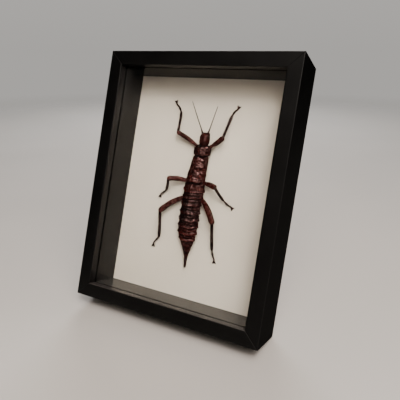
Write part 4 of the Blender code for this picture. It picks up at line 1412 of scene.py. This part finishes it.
def head(trees, coat, dark, brown, glaze):
    """The skull with its mouth and spines, the eyes and the antennae."""
    shell(
        "head", head_surface, HEAD_RINGS, ["head"], trees["granules"], coat,
        Density=0.9, Small=0.08, Large=0.2,
    )
    settle(piece_of("mouthparts", mouthparts(), coat), ["head"])
    thorns("crown_spines", trees["thorns"], crown(), coat, "body_shell", ["head"])
    for label, side in (("left", -1), ("right", 1)):
        eye = piece_of("eye_ball_" + label, [on_head(side, EYE)], glaze)
        settle(eye, ["eye_" + label])
        antenna(label, trees["whip"], dark, brown)


def tarsus(ankle, bend, toe, bow, hook):
    """Five joints, each swollen at its far end over a pad, with two hooked claws."""
    run = toe - bend
    right = np.array((abs(run[2]), 0.0, -run[0] * np.sign(run[2]))) / np.linalg.norm(run)
    line = through([ankle, bend, bend + run * 0.6 + right * bow, toe + right * hook], 20)
    total = len(line) - 1
    parts = []
    reach = 0.0
    for number, share in enumerate(TARSUS_SHARES):
        low, high = reach * total, (reach + share) * total
        steps = np.linspace(low + 0.2, high - 0.4, 16)
        part = np.stack([np.interp(steps, np.arange(total + 1), line[:, k]) for k in range(3)], -1)
        sizes = TARSUS_RADIUS * eased(np.linspace(0, 1, 16), TARSUS_SHAPE) * TARSUS_SIZES[number]
        seed = LIMB_SEEDS["tarsus"] + number
        parts.append(limb(
            part, sizes, 24, square=2.3, flat=0.85, rough=0.03, seed=seed, ends=0.5,
        ))
        reach += share
    along, across, out = (v[-1] for v in frames(line))
    toe = line[-1]
    parts.append(limb(
        np.array([toe - along * 0.3, toe + along * 0.35, toe + along * 0.9 - out * 0.1]),
        np.array((0.9, 1.35, 0.95)) * TARSUS_RADIUS, 20, rough=0.02, seed=LIMB_SEEDS["pad"],
        ends=0.7,
    ))
    for side in (-1, 1):
        claw = through([
            toe - along * 0.4 + across * side * 0.4, toe + along * 0.6 + across * side * 1.2,
            toe + along * 1.5 + across * side * 1.8 - out * 0.1,
            toe + along * 2.0 + across * side * 1.4 - out * 0.5,
        ], 7)
        taper = np.linspace(1, 0.25, len(claw)) ** 0.6
        parts.append(limb(claw, 0.6 * taper, 14, rough=0.0, seed=LIMB_SEEDS["claw"]))
    return parts


def keel_spots(line, radii, square, shares, length, draw):
    """Spots for thorns along the two upper keels and the two edges of a squarish limb."""
    along, across, out = frames(line)
    spots = []
    for angle in (0, 45, 135, 180):
        for share in shares:
            at = np.clip(share + draw.uniform(-0.03, 0.03), 0, 1) * (len(line) - 1)
            i = int(round(at))
            turn = math.radians(angle + draw.uniform(-8, 8))
            cosine, sine = math.cos(turn), math.sin(turn)
            normal = across[i] * cosine + out[i] * sine
            size = length * draw.uniform(0.75, 1.15)
            skin = radii[i] * (abs(cosine) ** square + abs(sine) ** square) ** (-1 / square)
            spots.append((
                line[i] + normal * (skin - 0.3), normal + along[i] * 0.55, along[i], size + 0.3,
                0.2 + 0.12 * size,
            ))
    return spots


def bowed(start, end, count, bow=(0.0, 0.0, 0.0)):
    """A line whose middle stands off by the bow, and each point's share of the way."""
    share = np.linspace(0, 1, count)[:, None]
    return start + (end - start) * share + np.array(bow) * 4 * share * (1 - share), share[:, 0]


def leg_skin(part, label, parts, coat):
    """The skin of one joint of a leg, set in its place."""
    settle(piece_of(part + "_skin_" + label, parts, coat), [part + "_" + label])


def legs(tree, thigh_coat, shin_coat):
    """Six legs, each with a coxa, a femur, a tibia and a tarsus."""
    for number, (label, joints) in enumerate(LEGS.items()):
        root, hip, knee, ankle, bend, toe = (on_card(*p) for p in joints)
        thigh, shin = LEG_RADII[label.split("_")[0]]
        shin_bow, foot_bow, hook = SHIN_BOW[label]
        across, up = FEMUR_BOW[label]
        draw = np.random.default_rng(LEG_SPINE_SEED + number)
        line, share = bowed(root, hip, 26)
        sizes = COXA_RADIUS * eased(share, COXA_SHAPE)
        seed = LIMB_SEEDS["coxa"] + number
        coxa = limb(line, sizes, square=2.3, flat=0.92, rough=0.14, seed=seed, ends=0.4)
        leg_skin("coxa", label, [coxa], thigh_coat)
        start = hip + (knee - hip) / np.linalg.norm(knee - hip) * 0.2
        for part, low, high, bow, radius, coat, slot in (
            ("femur", start, knee, (across, 0.0, up), thigh, thigh_coat, "thigh_shell"),
            ("tibia", knee, ankle, (shin_bow, 0.0, 0.0), shin, shin_coat, "shin_shell"),
        ):
            step, shape, places, length, section = LONG_JOINTS[part]
            line, share = bowed(low, high, int(np.linalg.norm(high - low) / step), bow)
            sizes = radius * eased(share, shape)
            skins = [limb(line, sizes, seed=LIMB_SEEDS[part] + number, **section)]
            if part == "tibia":
                knob = through([knee + (knee - ankle) * 0.03, knee, line[4]], 6)
                skins.append(limb(knob, shin * 1.02, 30, rough=0.03, seed=LIMB_SEEDS["knee"]))
            leg_skin(part, label, skins, coat)
            spots = keel_spots(line, sizes, section["square"], places, length, draw)
            name = part + "_spines_" + label
            thorns(name, tree, spots, coat, slot, [part + "_" + label], sides=8, levels=4)
        foot = tarsus(ankle, bend, toe, foot_bow, hook)
        leg_skin("tarsus", label, foot, shin_coat)


def insect():
    """The whole insect. Its shell has one recipe in four shades."""
    trees = {"thorns": thorn_tree(), "granules": granule_tree(), "whip": whip_tree()}
    body = chitin("dried_body_shell", "#0c0403", "#210a08", "#4c1612", 0.28, 0.8)
    thigh = chitin("dried_thigh_shell", "#120605", "#280c0a", "#571c15", 0.34, 0.9)
    shin = chitin("dried_shin_shell", "#050202", "#0c0404", "#1f0a08", 0.46, 0.8)
    brown = chitin("dried_feeler_shell", "#1a0d09", "#2e1912", "#40251a", 0.42, 0.4)
    trunk(trees, body)
    head(trees, body, shin, brown, eye_glaze())
    legs(trees["thorns"], thigh, shin)


# The studio

def camera():
    """Looks at the case from its right, a little above, as the picture does."""
    view = CASE.to_3x3().normalized()
    forward, up = view @ Vector(CAMERA_FORWARD), view @ Vector(CAMERA_UP)
    forward.normalize()
    right = forward.cross(up).normalized()
    up = right.cross(forward)
    lens = bpy.data.cameras.new("camera")
    lens.sensor_width = SENSOR
    lens.lens = SENSOR * FOCAL_PIXELS / PICTURE_WIDTH
    lens.clip_start, lens.clip_end = 0.01, 50
    seat = shown("camera", lens)
    turn = Matrix((right, up, -forward)).transposed()
    seat.matrix_world = Matrix.Translation(CASE @ Vector(CAMERA_PLACE)) @ turn.to_4x4()
    bpy.context.scene.camera = seat


def softbox(name, place, target, size, power, tint):
    """A round soft lamp that looks at the target."""
    light = bpy.data.lights.new(name, "AREA")
    light.shape, light.size = "DISK", size
    light.energy = power
    light.color = srgb(tint)[:3]
    lamp = shown(name, light)
    lamp.location = place
    lamp.rotation_euler = (Vector(target) - Vector(place)).to_track_quat("-Z", "Y").to_euler()


def studio():
    """A pale floor, soft lamps high on the right and far behind, and a room bright above."""
    disc = bmesh.new()
    bmesh.ops.create_circle(disc, cap_ends=True, radius=FLOOR_FAR + 0.1, segments=96)
    mesh = bpy.data.meshes.new("floor")
    disc.to_mesh(mesh)
    disc.free()
    mesh.materials.append(studio_floor())
    floor = shown("floor", mesh)
    floor.location.z = -FLOOR_DROP
    for lamp in LAMPS:
        softbox(*lamp)

    world = bpy.data.worlds.new("room")
    bpy.context.scene.world = world
    world.use_nodes = True
    tree = world.node_tree
    seen = add(tree, "ShaderNodeLightPath").outputs["Is Camera Ray"]
    aim = add(tree, "ShaderNodeTexCoord").outputs["Generated"]
    rise = add(tree, "ShaderNodeSeparateXYZ", (aim,)).outputs["Z"]
    dim = tinted(tree, "#2b2a29", "#6e6d6e", rise, 0.5, 1.0)
    pale = tinted(tree, "#b3b0ac", "#c6c3bf", rise, 0.0, 0.4)
    feed(tree, tree.nodes["Background"], {"Color": tinted(tree, dim, pale, seen, 0.0, 1.0)})


case()
stand()
insect()
camera()
studio()
